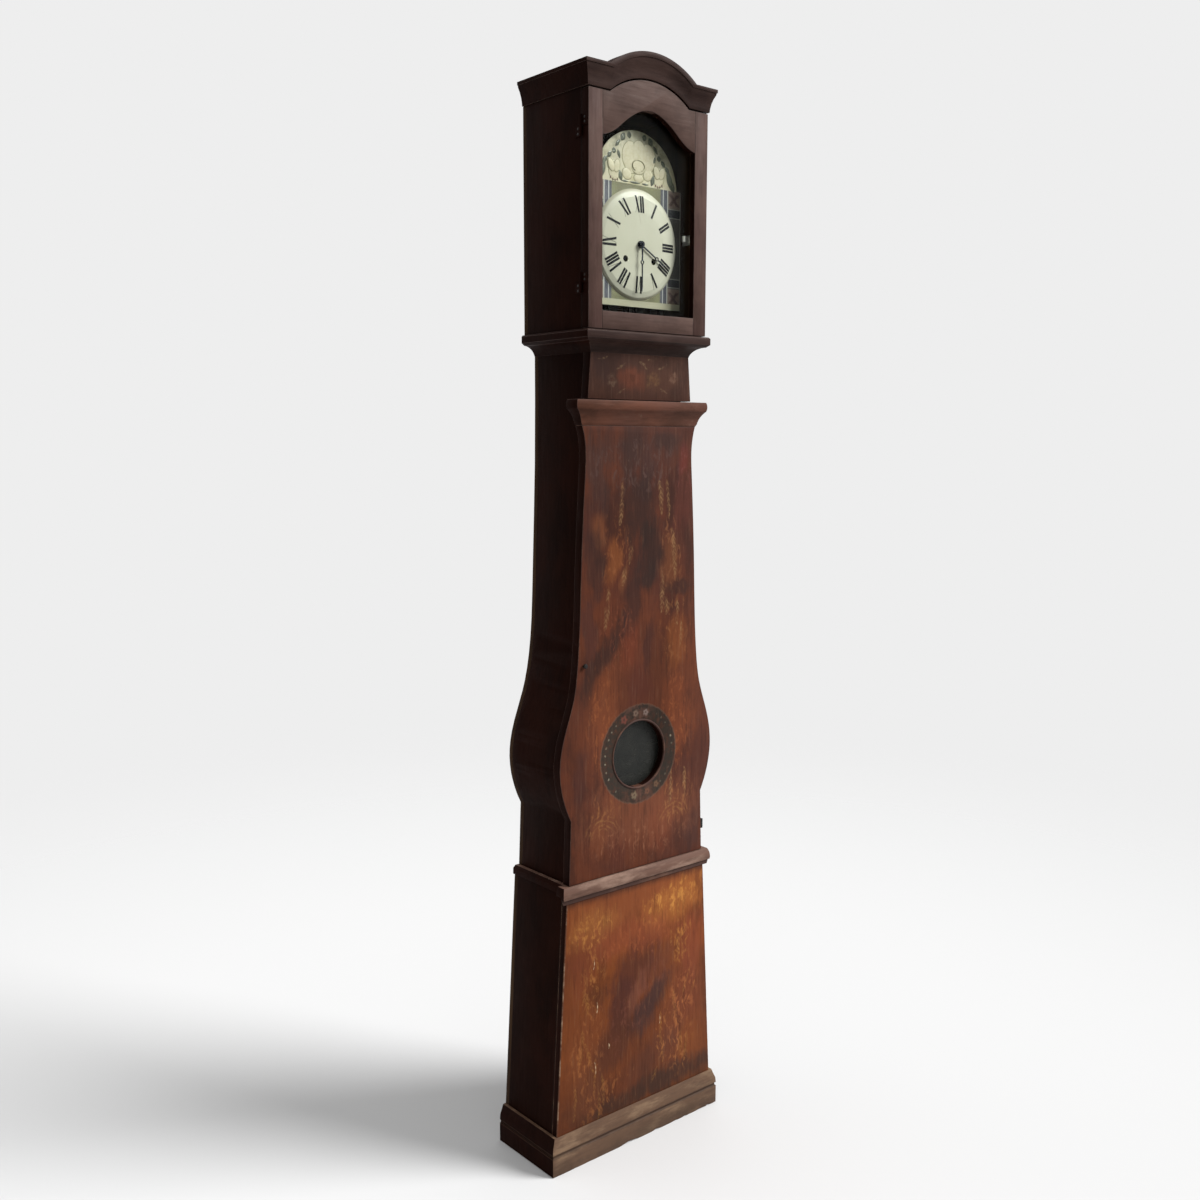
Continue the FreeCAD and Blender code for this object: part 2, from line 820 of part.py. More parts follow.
def turned(points, z, x=0.0):
    """Solid of revolution about an axis along y; points are (radius, y)."""
    face = closed_face(runs(points), lambda r, y: Vector(x + r, y, z))
    return face.revolve(Vector(x, 0, z), Vector(0, 1, 0), 360)


def dial_holes(shape):
    y0, y1 = dial_y - 5, dial_plate_y + 5
    shape = shape.cut(rod_along_y(0, dial_z, dial_centre_hole, y0, y1))
    for sign in (1, -1):
        shape = shape.cut(rod_along_y(sign * winding_half, winding_z, winding_hole_radius, y0, y1))
    return shape


def dial_plate():
    """Pressed brass plate with an arched fronton, and four feet to the cage's front pillars."""
    half, arch = dial_plate_half, dial_arch_half
    foot, shoulder, top = hood_z + dial_plate_foot_up, hood_z + dial_shoulder_up, hood_z + dial_arch_top_up
    face = closed_face([
        [(-half, foot), (half, foot)],
        [(half, foot), (half, shoulder)],
        [(half, shoulder), (arch, shoulder)],
        [(arch, shoulder), (0, top), (-arch, shoulder)],
        [(-arch, shoulder), (-half, shoulder)],
    ], in_xz)
    plate = dial_holes(along_y(face, dial_plate_y, dial_plate_y + dial_plate_thickness))
    feet = []
    for sign in (1, -1):
        for z in (foot + 30, shoulder - 30):
            start = dial_plate_y + dial_plate_thickness / 2
            feet.append(rod_along_y(sign * pillar_half, z, 3.0, start, frame_front))
    return fused([plate] + feet)


def dial_disc():
    """Domed enamel disc, dished at the back, that stands off the plate on its rim."""
    r, t = dial_radius, enamel_thickness
    rim_y = dial_plate_y
    face = [(r * out, dial_y + (rim_y - dial_y) * fall) for out, fall in dial_dome_share]
    back = [(radius - t, y + t) for radius, y in reversed(face)]
    points = [(0, dial_y), *face, (r, rim_y), (r - t, rim_y), *back, (0, dial_y + t), (0, dial_y)]
    return dial_holes(turned(points, dial_z))


add("dial_plate", dial_plate())
add("dial_disc", dial_disc())


# Wheels and arbors

def polygon(count, radius, x, z, turn=0.0):
    """Regular polygon by its corner radius, closed."""
    return [(x + radius * math.cos(turn + 2 * math.pi * i / count),
             z + radius * math.sin(turn + 2 * math.pi * i / count)) for i in range(count + 1)]


arbor_sides = 12


def faceted_arbor(x, z, radius, y0, y1):
    return plate_xz(polygon(arbor_sides, radius, x, z), y0, y1)


def arbor_hole(x, z, radius, y0, y1):
    return plate_xz(polygon(arbor_sides, radius + running_fit, x, z), y0 - 1, y1 + 1)


def round_hole(x, z, radius, y0, y1):
    return rod_along_y(x, z, radius + running_fit, y0 - 1, y1 + 1)


def toothed(count, module, form, x, z, first_tooth, y0, y1):
    """Toothed disc; first_tooth is the direction of one tooth's middle, in radians from +x towards +z."""
    addendum, dedendum, tip_share, pitch_share = form
    pitch_radius = count * module / 2
    root, tip = pitch_radius - dedendum * module, pitch_radius + addendum * module
    root_share = pitch_share + (pitch_share - tip_share) * dedendum / addendum
    pitch = 2 * math.pi / count
    points = []
    for i in range(count):
        middle = first_tooth + i * pitch
        for radius, share in ((root, -root_share), (tip, -tip_share), (tip, tip_share), (root, root_share)):
            angle = middle + share * pitch / 2
            points.append((x + radius * math.cos(angle), z + radius * math.sin(angle)))
    return plate_xz(points + points[:1], y0, y1)


def crossings(radius_in, radius_out, x, z, y0, y1, spokes, spoke_width):
    """The openings between a wheel's spokes."""
    cuts = []
    for i in range(spokes):
        start, end = 2 * math.pi * i / spokes, 2 * math.pi * (i + 1) / spokes
        inner_lean, outer_lean = spoke_width / 2 / radius_in, spoke_width / 2 / radius_out
        points = [(radius_in, start + inner_lean), (radius_out, start + outer_lean)]
        points += [(radius_out, start + (end - start) * k / 4) for k in (1, 2, 3)]
        points += [(radius_out, end - outer_lean), (radius_in, end - inner_lean)]
        corners = [(x + r * math.cos(a), z + r * math.sin(a)) for r, a in points]
        cuts.append(plate_xz(corners + corners[:1], y0 - 1, y1 + 1))
    return cuts


def crossed_wheel(count, module, x, z, first_tooth, y0, thickness, bore, hole=arbor_hole, spokes=4):
    """Brass wheel with a rim, spokes and a bore, faceted to fit its arbor or round to turn on it."""
    y1 = y0 + thickness
    wheel = toothed(count, module, wheel_form, x, z, first_tooth, y0, y1)
    rim = count * module / 2 - wheel_form[1] * module - 3.0
    for cut in crossings(bore + 5.0, rim, x, z, y0, y1, spokes, 5.0):
        wheel = wheel.cut(cut)
    return wheel.cut(hole(x, z, bore, y0, y1))


def facing_gap(direction, count):
    """Phase of a wheel whose tooth gap faces a neighbour that has a tooth pointing along direction."""
    return direction + math.pi + math.pi / count


def polar(x, z, distance, direction):
    return x + distance * math.cos(direction), z + distance * math.sin(direction)


up = math.pi / 2
rear_end = rear_bar_y + bar_thickness

great_distance = math.hypot(winding_half, winding_drop)
great_module = 2 * great_distance / (great_teeth + centre_leaves)
great_direction = math.atan2(winding_drop, -winding_half)
third_x, third_z = polar(0, dial_z, centre_module * (centre_teeth + third_leaves) / 2, up)
escape_x, escape_z = polar(third_x, third_z, third_module * (third_teeth + escape_leaves) / 2, up)
anchor_z = escape_z + anchor_rise
reverse_distance = cannon_module * (cannon_teeth + reverse_teeth) / 2
hour_module = 2 * reverse_distance / (hour_teeth + reverse_leaves)
strike_direction = math.radians(strike_lean)
strike_distance = great_module * (great_teeth + strike_leaves) / 2
strike_x, strike_z = polar(-winding_half, winding_z, strike_distance, strike_direction)
fly_direction = math.radians(fly_lean)
fly_distance = strike_module * (strike_teeth + fly_leaves) / 2
fly_x, fly_z = polar(strike_x, strike_z, fly_distance, fly_direction)


def pinion_arbor(leaves, module, x, z, first_leaf, pinion_y, y0, y1, radius=arbor_radius):
    """Steel arbor with its pinion cut in one piece."""
    pinion = toothed(leaves, module, pinion_form, x, z, first_leaf, pinion_y, pinion_y + pinion_length)
    return fused([faceted_arbor(x, z, radius, y0, y1), pinion])


def pinion_start(wheel_y, thickness):
    """Front of a pinion that is centred on the wheel that drives it."""
    return wheel_y + thickness / 2 - pinion_length / 2


pivot_front = front_bar_y
minute_hand_y = dial_y - 8.0
hour_hand_y = dial_y - 3.5
centre_front = minute_hand_y - hand_thickness - 1.0

add("going_great_wheel", crossed_wheel(great_teeth, great_module, winding_half, winding_z, great_direction,
                                       great_y, great_thickness, barrel_arbor_radius, round_hole))
centre_phase = facing_gap(great_direction, centre_leaves)
add("centre_arbor", pinion_arbor(centre_leaves, great_module, 0, dial_z, centre_phase,
                                 pinion_start(great_y, great_thickness), centre_front, rear_end,
                                 centre_arbor_radius))
add("centre_wheel", crossed_wheel(centre_teeth, centre_module, 0, dial_z, up, centre_wheel_y,
                                  wheel_thickness, centre_arbor_radius))
add("third_arbor", pinion_arbor(third_leaves, centre_module, third_x, third_z, facing_gap(up, third_leaves),
                                pinion_start(centre_wheel_y, wheel_thickness), pivot_front, rear_end))
add("third_wheel", crossed_wheel(third_teeth, third_module, third_x, third_z, up, third_wheel_y,
                                 wheel_thickness, arbor_radius))
add("escape_arbor", pinion_arbor(escape_leaves, third_module, escape_x, escape_z,
                                 facing_gap(up, escape_leaves), pinion_start(third_wheel_y, wheel_thickness),
                                 pivot_front, rear_end))


def escape_wheel():
    """Escape wheel with pointed, undercut teeth."""
    pitch = 2 * math.pi / escape_teeth
    points = []
    for i in range(escape_teeth):
        for radius, share in ((escape_radius - 5.0, 0.10), (escape_radius, 0.0), (escape_radius, 0.08),
                              (escape_radius - 5.0, 0.55)):
            points.append(polar(escape_x, escape_z, radius, (i + share) * pitch))
    y1 = escape_wheel_y + wheel_thickness
    wheel = plate_xz(points + points[:1], escape_wheel_y, y1)
    rim = escape_radius - escape_rim
    for cut in crossings(arbor_radius + 4.0, rim, escape_x, escape_z, escape_wheel_y, y1, 4, 3.5):
        wheel = wheel.cut(cut)
    return wheel.cut(arbor_hole(escape_x, escape_z, arbor_radius, escape_wheel_y, y1))


add("escape_wheel", escape_wheel())
cannon_back = cannon_y + wheel_thickness
cannon_wheel = toothed(cannon_teeth, cannon_module, pinion_form, 0, dial_z, 0.0, cannon_y, cannon_back)
add("cannon_wheel", cannon_wheel.cut(arbor_hole(0, dial_z, centre_arbor_radius, cannon_y, cannon_back)))

stud_radius = 2.5


def reverse_wheel():
    """Intermediate wheel of the motion work with its pinion, on a stud on the right-hand bar."""
    x = reverse_distance
    wheel = toothed(reverse_teeth, cannon_module, wheel_form, x, dial_z, facing_gap(0.0, reverse_teeth),
                    cannon_y, cannon_back)
    pinion_front = hour_wheel_y - 0.5
    pinion = toothed(reverse_leaves, hour_module, pinion_form, x, dial_z, facing_gap(0.0, reverse_leaves),
                     pinion_front, cannon_y)
    return fused([wheel, pinion]).cut(round_hole(x, dial_z, stud_radius, pinion_front, cannon_back))


pipe_radius = 4.0
add("reverse_wheel", reverse_wheel())
hour_back = hour_wheel_y + wheel_thickness
hour_disc = toothed(hour_teeth, hour_module, wheel_form, 0, dial_z, 0.0, hour_wheel_y, hour_back)
add("hour_wheel", hour_disc.cut(arbor_hole(0, dial_z, pipe_radius, hour_wheel_y, hour_back)))


def hand(length, ring_at, y0, boss, hole, turn):
    """Steel hand with a boss, a slim blade, a small ring and a pointed tip, turned clockwise from 12."""
    y1 = y0 + hand_thickness
    blade = [(-1.6, 0), (1.6, 0), (1.1, length * 0.92), (0, length), (-1.1, length * 0.92), (-1.6, 0)]
    shape = plate_xz(blade, y0, y1)
    ring = rod_along_y(0, length * ring_at, 4.4, y0, y1)
    hub = rod_along_y(0, 0, boss, y0, y1)
    shape = fused([shape, ring, hub]).cut(rod_along_y(0, length * ring_at, 2.6, y0 - 1, y1 + 1))
    shape = shape.cut(plate_xz(polygon(arbor_sides, hole, 0, 0), y0 - 1, y1 + 1))
    shape.rotate(Vector(0, 0, 0), Vector(0, 1, 0), turn)
    shape.translate(Vector(0, 0, dial_z))
    return shape


def hour_hand():
    """Hour hand, riveted to the pipe that turns round the centre arbor."""
    pipe = faceted_arbor(0, dial_z, pipe_radius, hour_hand_y, hour_wheel_y + wheel_thickness)
    bore = rod_along_y(0, dial_z, centre_arbor_radius + pin_fit, hour_hand_y - 5, hour_wheel_y + 5)
    blade = hand(hour_hand_length, hour_ring_share, hour_hand_y, 7.0, pipe_radius - 0.5, hour_angle)
    return fused([pipe, blade]).cut(bore)


minute_hole = centre_arbor_radius + running_fit
add("minute_hand", hand(minute_hand_length, minute_ring_share, minute_hand_y, 6.0, minute_hole, minute_angle))
add("hour_hand", hour_hand())


# Barrels, lines and weights

def ratchet(x, z):
    points = []
    for i in range(ratchet_teeth):
        start = 2 * math.pi * i / ratchet_teeth
        points.append(polar(x, z, ratchet_radius, start))
        points.append(polar(x, z, ratchet_radius - 2.5, start + 0.1 * math.pi / ratchet_teeth))
    return plate_xz(points + points[:1], ratchet_y, ratchet_y + ratchet_thickness)


def barrel(x, z, ratchet_here):
    """Drum with two flanges and a ratchet on one arbor, squared at the front for the winding key."""
    drum_back = drum_front_y + drum_length
    square_start = front_bar_y - 0.5
    half = winding_square / 2
    pieces = [
        rod_along_y(x, z, drum_radius, drum_front_y, drum_back),
        rod_along_y(x, z, flange_radius, drum_front_y, drum_front_y + flange_thickness),
        rod_along_y(x, z, flange_radius, drum_back - flange_thickness, drum_back),
        rod_along_y(x, z, barrel_arbor_radius, square_start, rear_end),
        box(x - half, x + half, dial_y + enamel_thickness + 1.0, square_start + 1, z - half, z + half),
    ]
    if ratchet_here:
        pieces.append(ratchet(x, z))
    return fused(pieces)


def weight(x):
    """Cast-iron weight with chamfered rims, hung by a ring."""
    r, z0, z1 = weight_radius, weight_foot_z, weight_foot_z + weight_height
    edge = 6.0
    profile = [(0, z0), (r - edge, z0), (r, z0 + edge), (r, z1 - edge), (r - edge, z1), (0, z1), (0, z0)]
    face = closed_face(runs(profile), lambda a, z: Vector(x + a, line_y, z))
    body = face.revolve(Vector(x, line_y, 0), Vector(0, 0, 1), 360)
    ring_top = z1 + weight_ring_height
    stem = rod_along_z(x, line_y, 3.0, z1 - 2, z1 + 10)
    ring = Part.makeTorus(8.0, 2.0, Vector(x, line_y, ring_top - 10), Vector(0, 1, 0))
    return fused([body, stem, ring])


def line(x):
    top = winding_z
    foot = weight_foot_z + weight_height + weight_ring_height + wheel_gap
    return rod_along_z(x, line_y, line_radius, foot, top)


add("going_barrel", barrel(winding_half, winding_z, True))
add("strike_barrel", barrel(-winding_half, winding_z, False))
add("going_weight", weight(line_x))
add("strike_weight", weight(-line_x))
add("going_line", line(line_x))
add("strike_line", line(-line_x))


# Strike train

def strike_great_wheel():
    """Great wheel of the strike with pins on its rim that lift the hammer."""
    x, z = -winding_half, winding_z
    wheel = crossed_wheel(great_teeth, great_module, x, z, strike_direction, strike_great_y, great_thickness,
                          barrel_arbor_radius, round_hole)
    pin_radius = great_teeth * great_module / 2 - 3.5
    pins = []
    for i in range(12):
        px, pz = polar(x, z, pin_radius, strike_direction + 2 * math.pi * i / 12)
        pins.append(plate_xz(polygon(6, 1.2, px, pz), strike_great_y - 4.0, strike_great_y + 0.5))
    return fused([wheel] + pins)


add("strike_great_wheel", strike_great_wheel())
add("strike_arbor", pinion_arbor(strike_leaves, great_module, strike_x, strike_z,
                                 facing_gap(strike_direction, strike_leaves),
                                 rear_bar_y - pinion_length - 0.5, pivot_front, rear_end))
add("strike_wheel", crossed_wheel(strike_teeth, strike_module, strike_x, strike_z, fly_direction,
                                  strike_wheel_y, wheel_thickness, arbor_radius))


def fly():
    """Air-brake fly: pinion arbor with a flat vane clipped round it."""
    arbor = pinion_arbor(fly_leaves, strike_module, fly_x, fly_z, facing_gap(fly_direction, fly_leaves),
                         pinion_start(strike_wheel_y, wheel_thickness), pivot_front, rear_end)
    edge, end = fly_vane_thickness / 2, fly_y + fly_vane_length
    vane = box(fly_x - fly_vane_half, fly_x + fly_vane_half, fly_y, end, fly_z - edge, fly_z + edge)
    return arbor, vane.cut(arbor_hole(fly_x, fly_z, arbor_radius, fly_y, end))


add("fly", *fly())


# Escapement and pendulum

rod_front, rod_back = rod_y, rod_y + rod_thickness
crutch_y = rod_back + 1.5


def anchor():
    """Anchor on its arbor, with a crutch in front whose fork takes the pendulum rod."""
    span = math.radians(anchor_span_angle)
    tip = escape_radius + anchor_clearance
    left, right = polar(0, escape_z, tip, up + span), polar(0, escape_z, tip, up - span)
    arms = []
    for (x, z), sign in ((left, -1), (right, 1)):
        arms.append([(0, anchor_z + 5), (x + sign * 3.0, z + 8), (x + sign * 1.2, z),
                     (x - sign * 1.0, z + 1.0), (x - sign * 4.0, z + 8), (0, anchor_z - 5),
                     (0, anchor_z + 5)])
    y0, y1 = escape_wheel_y, escape_wheel_y + wheel_thickness
    pieces = [plate_xz(points, y0, y1) for points in arms]
    pieces.append(faceted_arbor(0, anchor_z, arbor_radius, crutch_y, rear_end))
    pieces.append(rod_along_y(0, anchor_z, 5.0, y0 - 3, y1 + 3))
    low = anchor_z - crutch_length
    half = rod_width / 2 + wheel_gap
    pieces.append(box(-2.0, 2.0, crutch_y, crutch_y + 1.5, low + 3, anchor_z))
    pieces.append(box(-half - 2.0, half + 2.0, crutch_y, crutch_y + 1.5, low, low + 5))
    for sign in (1, -1):
        x0, x1 = sorted((sign * half, sign * (half + 2.0)))
        pieces.append(box(x0, x1, rod_front - 1.0, crutch_y + 1.0, low, low + 5))
    return fused(pieces)


rod_foot_z = bob_z - bob_radius - 2 * nut_height


def pendulum_rod():
    """Flat rod that hangs from an eye, opens into a loop round the centre arbor and ends in a rating nut."""
    half = rod_width / 2
    bar = box(-half, half, rod_front, rod_back, rod_foot_z, anchor_z)
    eye = rod_along_y(0, anchor_z, rod_eye_radius, rod_front, rod_back)
    loop = rod_along_y(0, dial_z, loop_radius + loop_width, rod_front, rod_back)
    nut_z = bob_z - bob_radius - nut_height - wheel_gap
    middle = (rod_front + rod_back) / 2
    nut = rod_along_z(0, middle, nut_radius, nut_z, nut_z + nut_height)
    rod = fused([bar, eye, loop, nut])
    rod = rod.cut(rod_along_y(0, dial_z, loop_radius, rod_front - 1, rod_back + 1))
    return rod.cut(rod_along_y(0, anchor_z, suspension_pin_radius + pin_fit, rod_front - 1, rod_back + 1))


def pendulum_bob():
    """Lens-shaped bob with a slot down its middle for the rod."""
    middle = (rod_front + rod_back) / 2
    r, t = bob_radius, bob_half_thickness
    axis = Vector(0, 0, bob_z)
    rim = Vector(r, middle, bob_z)
    front = Part.Arc(Vector(0, middle - t, bob_z), Vector(r * 0.72, middle - t * 0.5, bob_z), rim)
    back = Part.Arc(rim, Vector(r * 0.72, middle + t * 0.5, bob_z), Vector(0, middle + t, bob_z))
    spine = Part.LineSegment(Vector(0, middle + t, bob_z), Vector(0, middle - t, bob_z))
    lens = face_of([front.toShape(), back.toShape(), spine.toShape()]).revolve(axis, Vector(0, 1, 0), 360)
    half = rod_width / 2 + wheel_gap
    slot = box(-half, half, rod_front - wheel_gap, rod_back + wheel_gap, bob_z - r - 1, bob_z + r + 1)
    return lens.cut(slot)


def suspension_cock():
    """Bracket on the cage's top plate with the pin that the pendulum hangs on."""
    drop_y = rod_front - 5.0
    arm = box(-8, 8, drop_y, frame_front, frame_top_z - frame_plate, frame_top_z)
    drop = box(-8, 8, drop_y, drop_y + 3.0, anchor_z - 8, frame_top_z)
    pin = rod_along_y(0, anchor_z, suspension_pin_radius, drop_y + 1, rod_back + 0.8)
    return fused([arm, drop, pin])


add("anchor_and_crutch", anchor())
add("pendulum_rod", pendulum_rod())
add("pendulum_bob", pendulum_bob())
add("suspension_cock", suspension_cock())


# Movement cage, bell and hammer

hammer_z = hood_z + hammer_up
bell_foot_z = frame_top_z + bell_lift
hammer_head_z = bell_foot_z + 8.0
hammer_head_x = bell_radius + hammer_gap + hammer_head_radius


def bell_post_core(slack, z0, z1):
    return plate_xy(polygon(arbor_sides, bell_post_radius + slack, 0, bell_y), z0, z1)


def frame_plates():
    bottom = box(-frame_half, frame_half, frame_front, frame_back, hood_z, hood_z + frame_plate)
    top = box(-frame_half, frame_half, frame_front, frame_back, frame_top_z - frame_plate, frame_top_z)
    for sign in (1, -1):
        hole = rod_along_z(sign * line_x, line_y, line_hole_radius, hood_z - 1, hood_z + frame_plate + 1)
        bottom = bottom.cut(hole)
    below, over = frame_top_z - frame_plate - 1, frame_top_z + 1
    top = top.cut(box(hammer_head_x, hammer_x + 8, bell_y - 6, bell_y + 6, below, over))
    return bottom, top.cut(bell_post_core(running_fit, frame_top_z - frame_plate - 1, frame_top_z + 1))


def frame_uprights():
    """Four corner pillars, and flat bars at the front and at the rear that carry the pivots."""
    z0, z1 = hood_z + frame_plate, frame_top_z - frame_plate
    half = pillar_width / 2
    pieces = []
    for x in (-pillar_half, pillar_half):
        for y in (frame_front, frame_back - pillar_width):
            pieces.append(box(x - half, x + half, y, y + pillar_width, z0, z1))
    bars = ((-middle_bar_half, middle_bar_half),) + side_bars
    holes = [(0, dial_z, centre_arbor_radius), (third_x, third_z, arbor_radius),
             (escape_x, escape_z, arbor_radius), (0, anchor_z, arbor_radius),
             (winding_half, winding_z, barrel_arbor_radius), (-winding_half, winding_z, barrel_arbor_radius),
             (strike_x, strike_z, arbor_radius), (fly_x, fly_z, arbor_radius),
             (hammer_x, hammer_z, arbor_radius)]
    for x0, x1 in bars:
        for y0 in (front_bar_y, rear_bar_y):
            y1 = y0 + bar_thickness
            bar = box(x0, x1, y0, y1, z0, z1)
            for x, z, radius in holes:
                if x0 < x < x1:
                    bar = bar.cut(rod_along_y(x, z, radius + running_fit, y0 - 1, y1 + 1))
            if x0 < reverse_distance < x1 and y0 == front_bar_y:
                stud = rod_along_y(reverse_distance, dial_z, stud_radius, hour_wheel_y - 1, y0 + 1)
                collar = rod_along_y(reverse_distance, dial_z, stud_radius + 2, cannon_back + wheel_gap, y0)
                bar = fused([bar, stud, collar])
            pieces.append(bar)
    return pieces


def bell():
    """Cup-shaped bell, hung mouth down on its post."""
    r, h, t = bell_radius, bell_height, bell_wall
    z0 = bell_foot_z
    outer = Part.Arc(Vector(r, bell_y, z0), Vector(r * 0.82, bell_y, z0 + h * 0.66),
                     Vector(0, bell_y, z0 + h))
    inner = Part.Arc(Vector(r - t, bell_y, z0), Vector((r - t) * 0.82, bell_y, z0 + (h - t) * 0.66),
                     Vector(0, bell_y, z0 + h - t))
    lip = Part.LineSegment(Vector(r, bell_y, z0), Vector(r - t, bell_y, z0))
    crown = Part.LineSegment(Vector(0, bell_y, z0 + h), Vector(0, bell_y, z0 + h - t))
    section = face_of([edge.toShape() for edge in (outer, inner, lip, crown)])
    shell = section.revolve(Vector(0, bell_y, 0), Vector(0, 0, 1), 360)
    return shell.cut(bell_post_core(running_fit, z0, z0 + h + 5))


def bell_post():
    z0, top = frame_top_z - frame_plate, bell_foot_z + bell_height
    post = bell_post_core(0.0, z0, top + 8)
    shoulder = rod_along_z(0, bell_y, bell_post_radius + 3, frame_top_z, top - bell_wall - 2)
    nut = plate_xy(polygon(6, 8.0, 0, bell_y), top + 1, top + 6)
    return fused([post, shoulder, nut])


def hammer():
    """Hammer on its arbor, with a stem through the top plate and a head beside the bell's rim."""
    arbor = faceted_arbor(hammer_x, hammer_z, arbor_radius, pivot_front, rear_end)
    hub = rod_along_y(hammer_x, hammer_z, 4.5, bell_y - 4, bell_y + 4)
    stem = rod_between(Vector(hammer_x, bell_y, hammer_z), Vector(hammer_head_x, bell_y, hammer_head_z), 2.2)
    face, tail = hammer_head_x - hammer_head_radius, hammer_head_x + hammer_head_radius + 4
    head = rod_between(Vector(face, bell_y, hammer_head_z), Vector(tail, bell_y, hammer_head_z),
                       hammer_head_radius)
    return fused([arbor, hub, stem, head])


add("frame_plates", *frame_plates())
add("frame_uprights", *frame_uprights())
add("bell", bell())
add("bell_post", bell_post())
add("hammer", hammer())


os.makedirs("parts", exist_ok=True)
for name, shape in nodes.items():
    shape.exportStep("parts/" + name + ".step")
print(len(nodes), "nodes;", sum(len(shape.Solids) for shape in nodes.values()), "solids")
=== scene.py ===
"""Looks of a painted longcase clock: finishes, painted ornament, dial work, fittings, stage and camera."""
from __future__ import annotations

import json
import logging
import math
from dataclasses import dataclass
from enum import Enum
from functools import cache, reduce
from typing import Any, Iterable, Optional, Sequence, Union

import bmesh
import bpy
from mathutils import Matrix, Vector, noise

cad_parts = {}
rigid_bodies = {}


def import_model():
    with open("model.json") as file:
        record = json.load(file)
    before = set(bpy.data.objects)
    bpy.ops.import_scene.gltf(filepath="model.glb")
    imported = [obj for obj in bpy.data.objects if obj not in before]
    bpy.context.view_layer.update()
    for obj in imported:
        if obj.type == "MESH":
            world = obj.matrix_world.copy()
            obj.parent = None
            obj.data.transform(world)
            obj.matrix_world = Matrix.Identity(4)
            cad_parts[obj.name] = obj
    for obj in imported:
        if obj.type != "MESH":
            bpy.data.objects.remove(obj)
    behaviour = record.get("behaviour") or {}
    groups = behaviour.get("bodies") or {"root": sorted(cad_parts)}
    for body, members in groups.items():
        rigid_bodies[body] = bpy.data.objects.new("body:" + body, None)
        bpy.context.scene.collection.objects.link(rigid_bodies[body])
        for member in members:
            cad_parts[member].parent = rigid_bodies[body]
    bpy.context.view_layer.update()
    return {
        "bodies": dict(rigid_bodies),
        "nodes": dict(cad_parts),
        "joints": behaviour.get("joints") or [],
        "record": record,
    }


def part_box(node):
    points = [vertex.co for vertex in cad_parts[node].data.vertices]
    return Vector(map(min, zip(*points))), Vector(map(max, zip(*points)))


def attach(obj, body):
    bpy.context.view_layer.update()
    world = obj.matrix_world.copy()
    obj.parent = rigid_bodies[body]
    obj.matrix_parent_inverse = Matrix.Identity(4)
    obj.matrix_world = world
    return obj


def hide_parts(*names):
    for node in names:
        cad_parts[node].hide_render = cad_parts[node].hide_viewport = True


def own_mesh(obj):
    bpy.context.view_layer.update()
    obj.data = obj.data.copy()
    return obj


log = logging.getLogger("longcase_clock")

MM = 0.001
BMesh = bmesh.types.BMesh
NodeTree = bpy.types.NodeTree
Socket = bpy.types.NodeSocket
Nodes = dict[str, bpy.types.Object]
Scalar = Union[float, Socket]
Colour = Union[str, Socket]
Pair = tuple[float, float]
Triple = tuple[float, float, float]


def paint(code: str) -> tuple[float, float, float, float]:
    """Give the linear colour of a paint.

    Args:
        code: The paint as six hex digits, as it looks in plain light.

    Returns:
        Red, green, blue and alpha.
    """
    parts = [int(code[i:i + 2], 16) / 255 for i in (0, 2, 4)]
    linear = [c / 12.92 if c <= 0.04045 else ((c + 0.055) / 1.055) ** 2.4 for c in parts]
    return (*linear, 1.0)


class Body(Enum):
    """Moving bodies that the dressed pieces ride on."""

    CASE = "case"
    TRUNK_DOOR = "trunk_door"
    HOOD_DOOR = "hood_door"


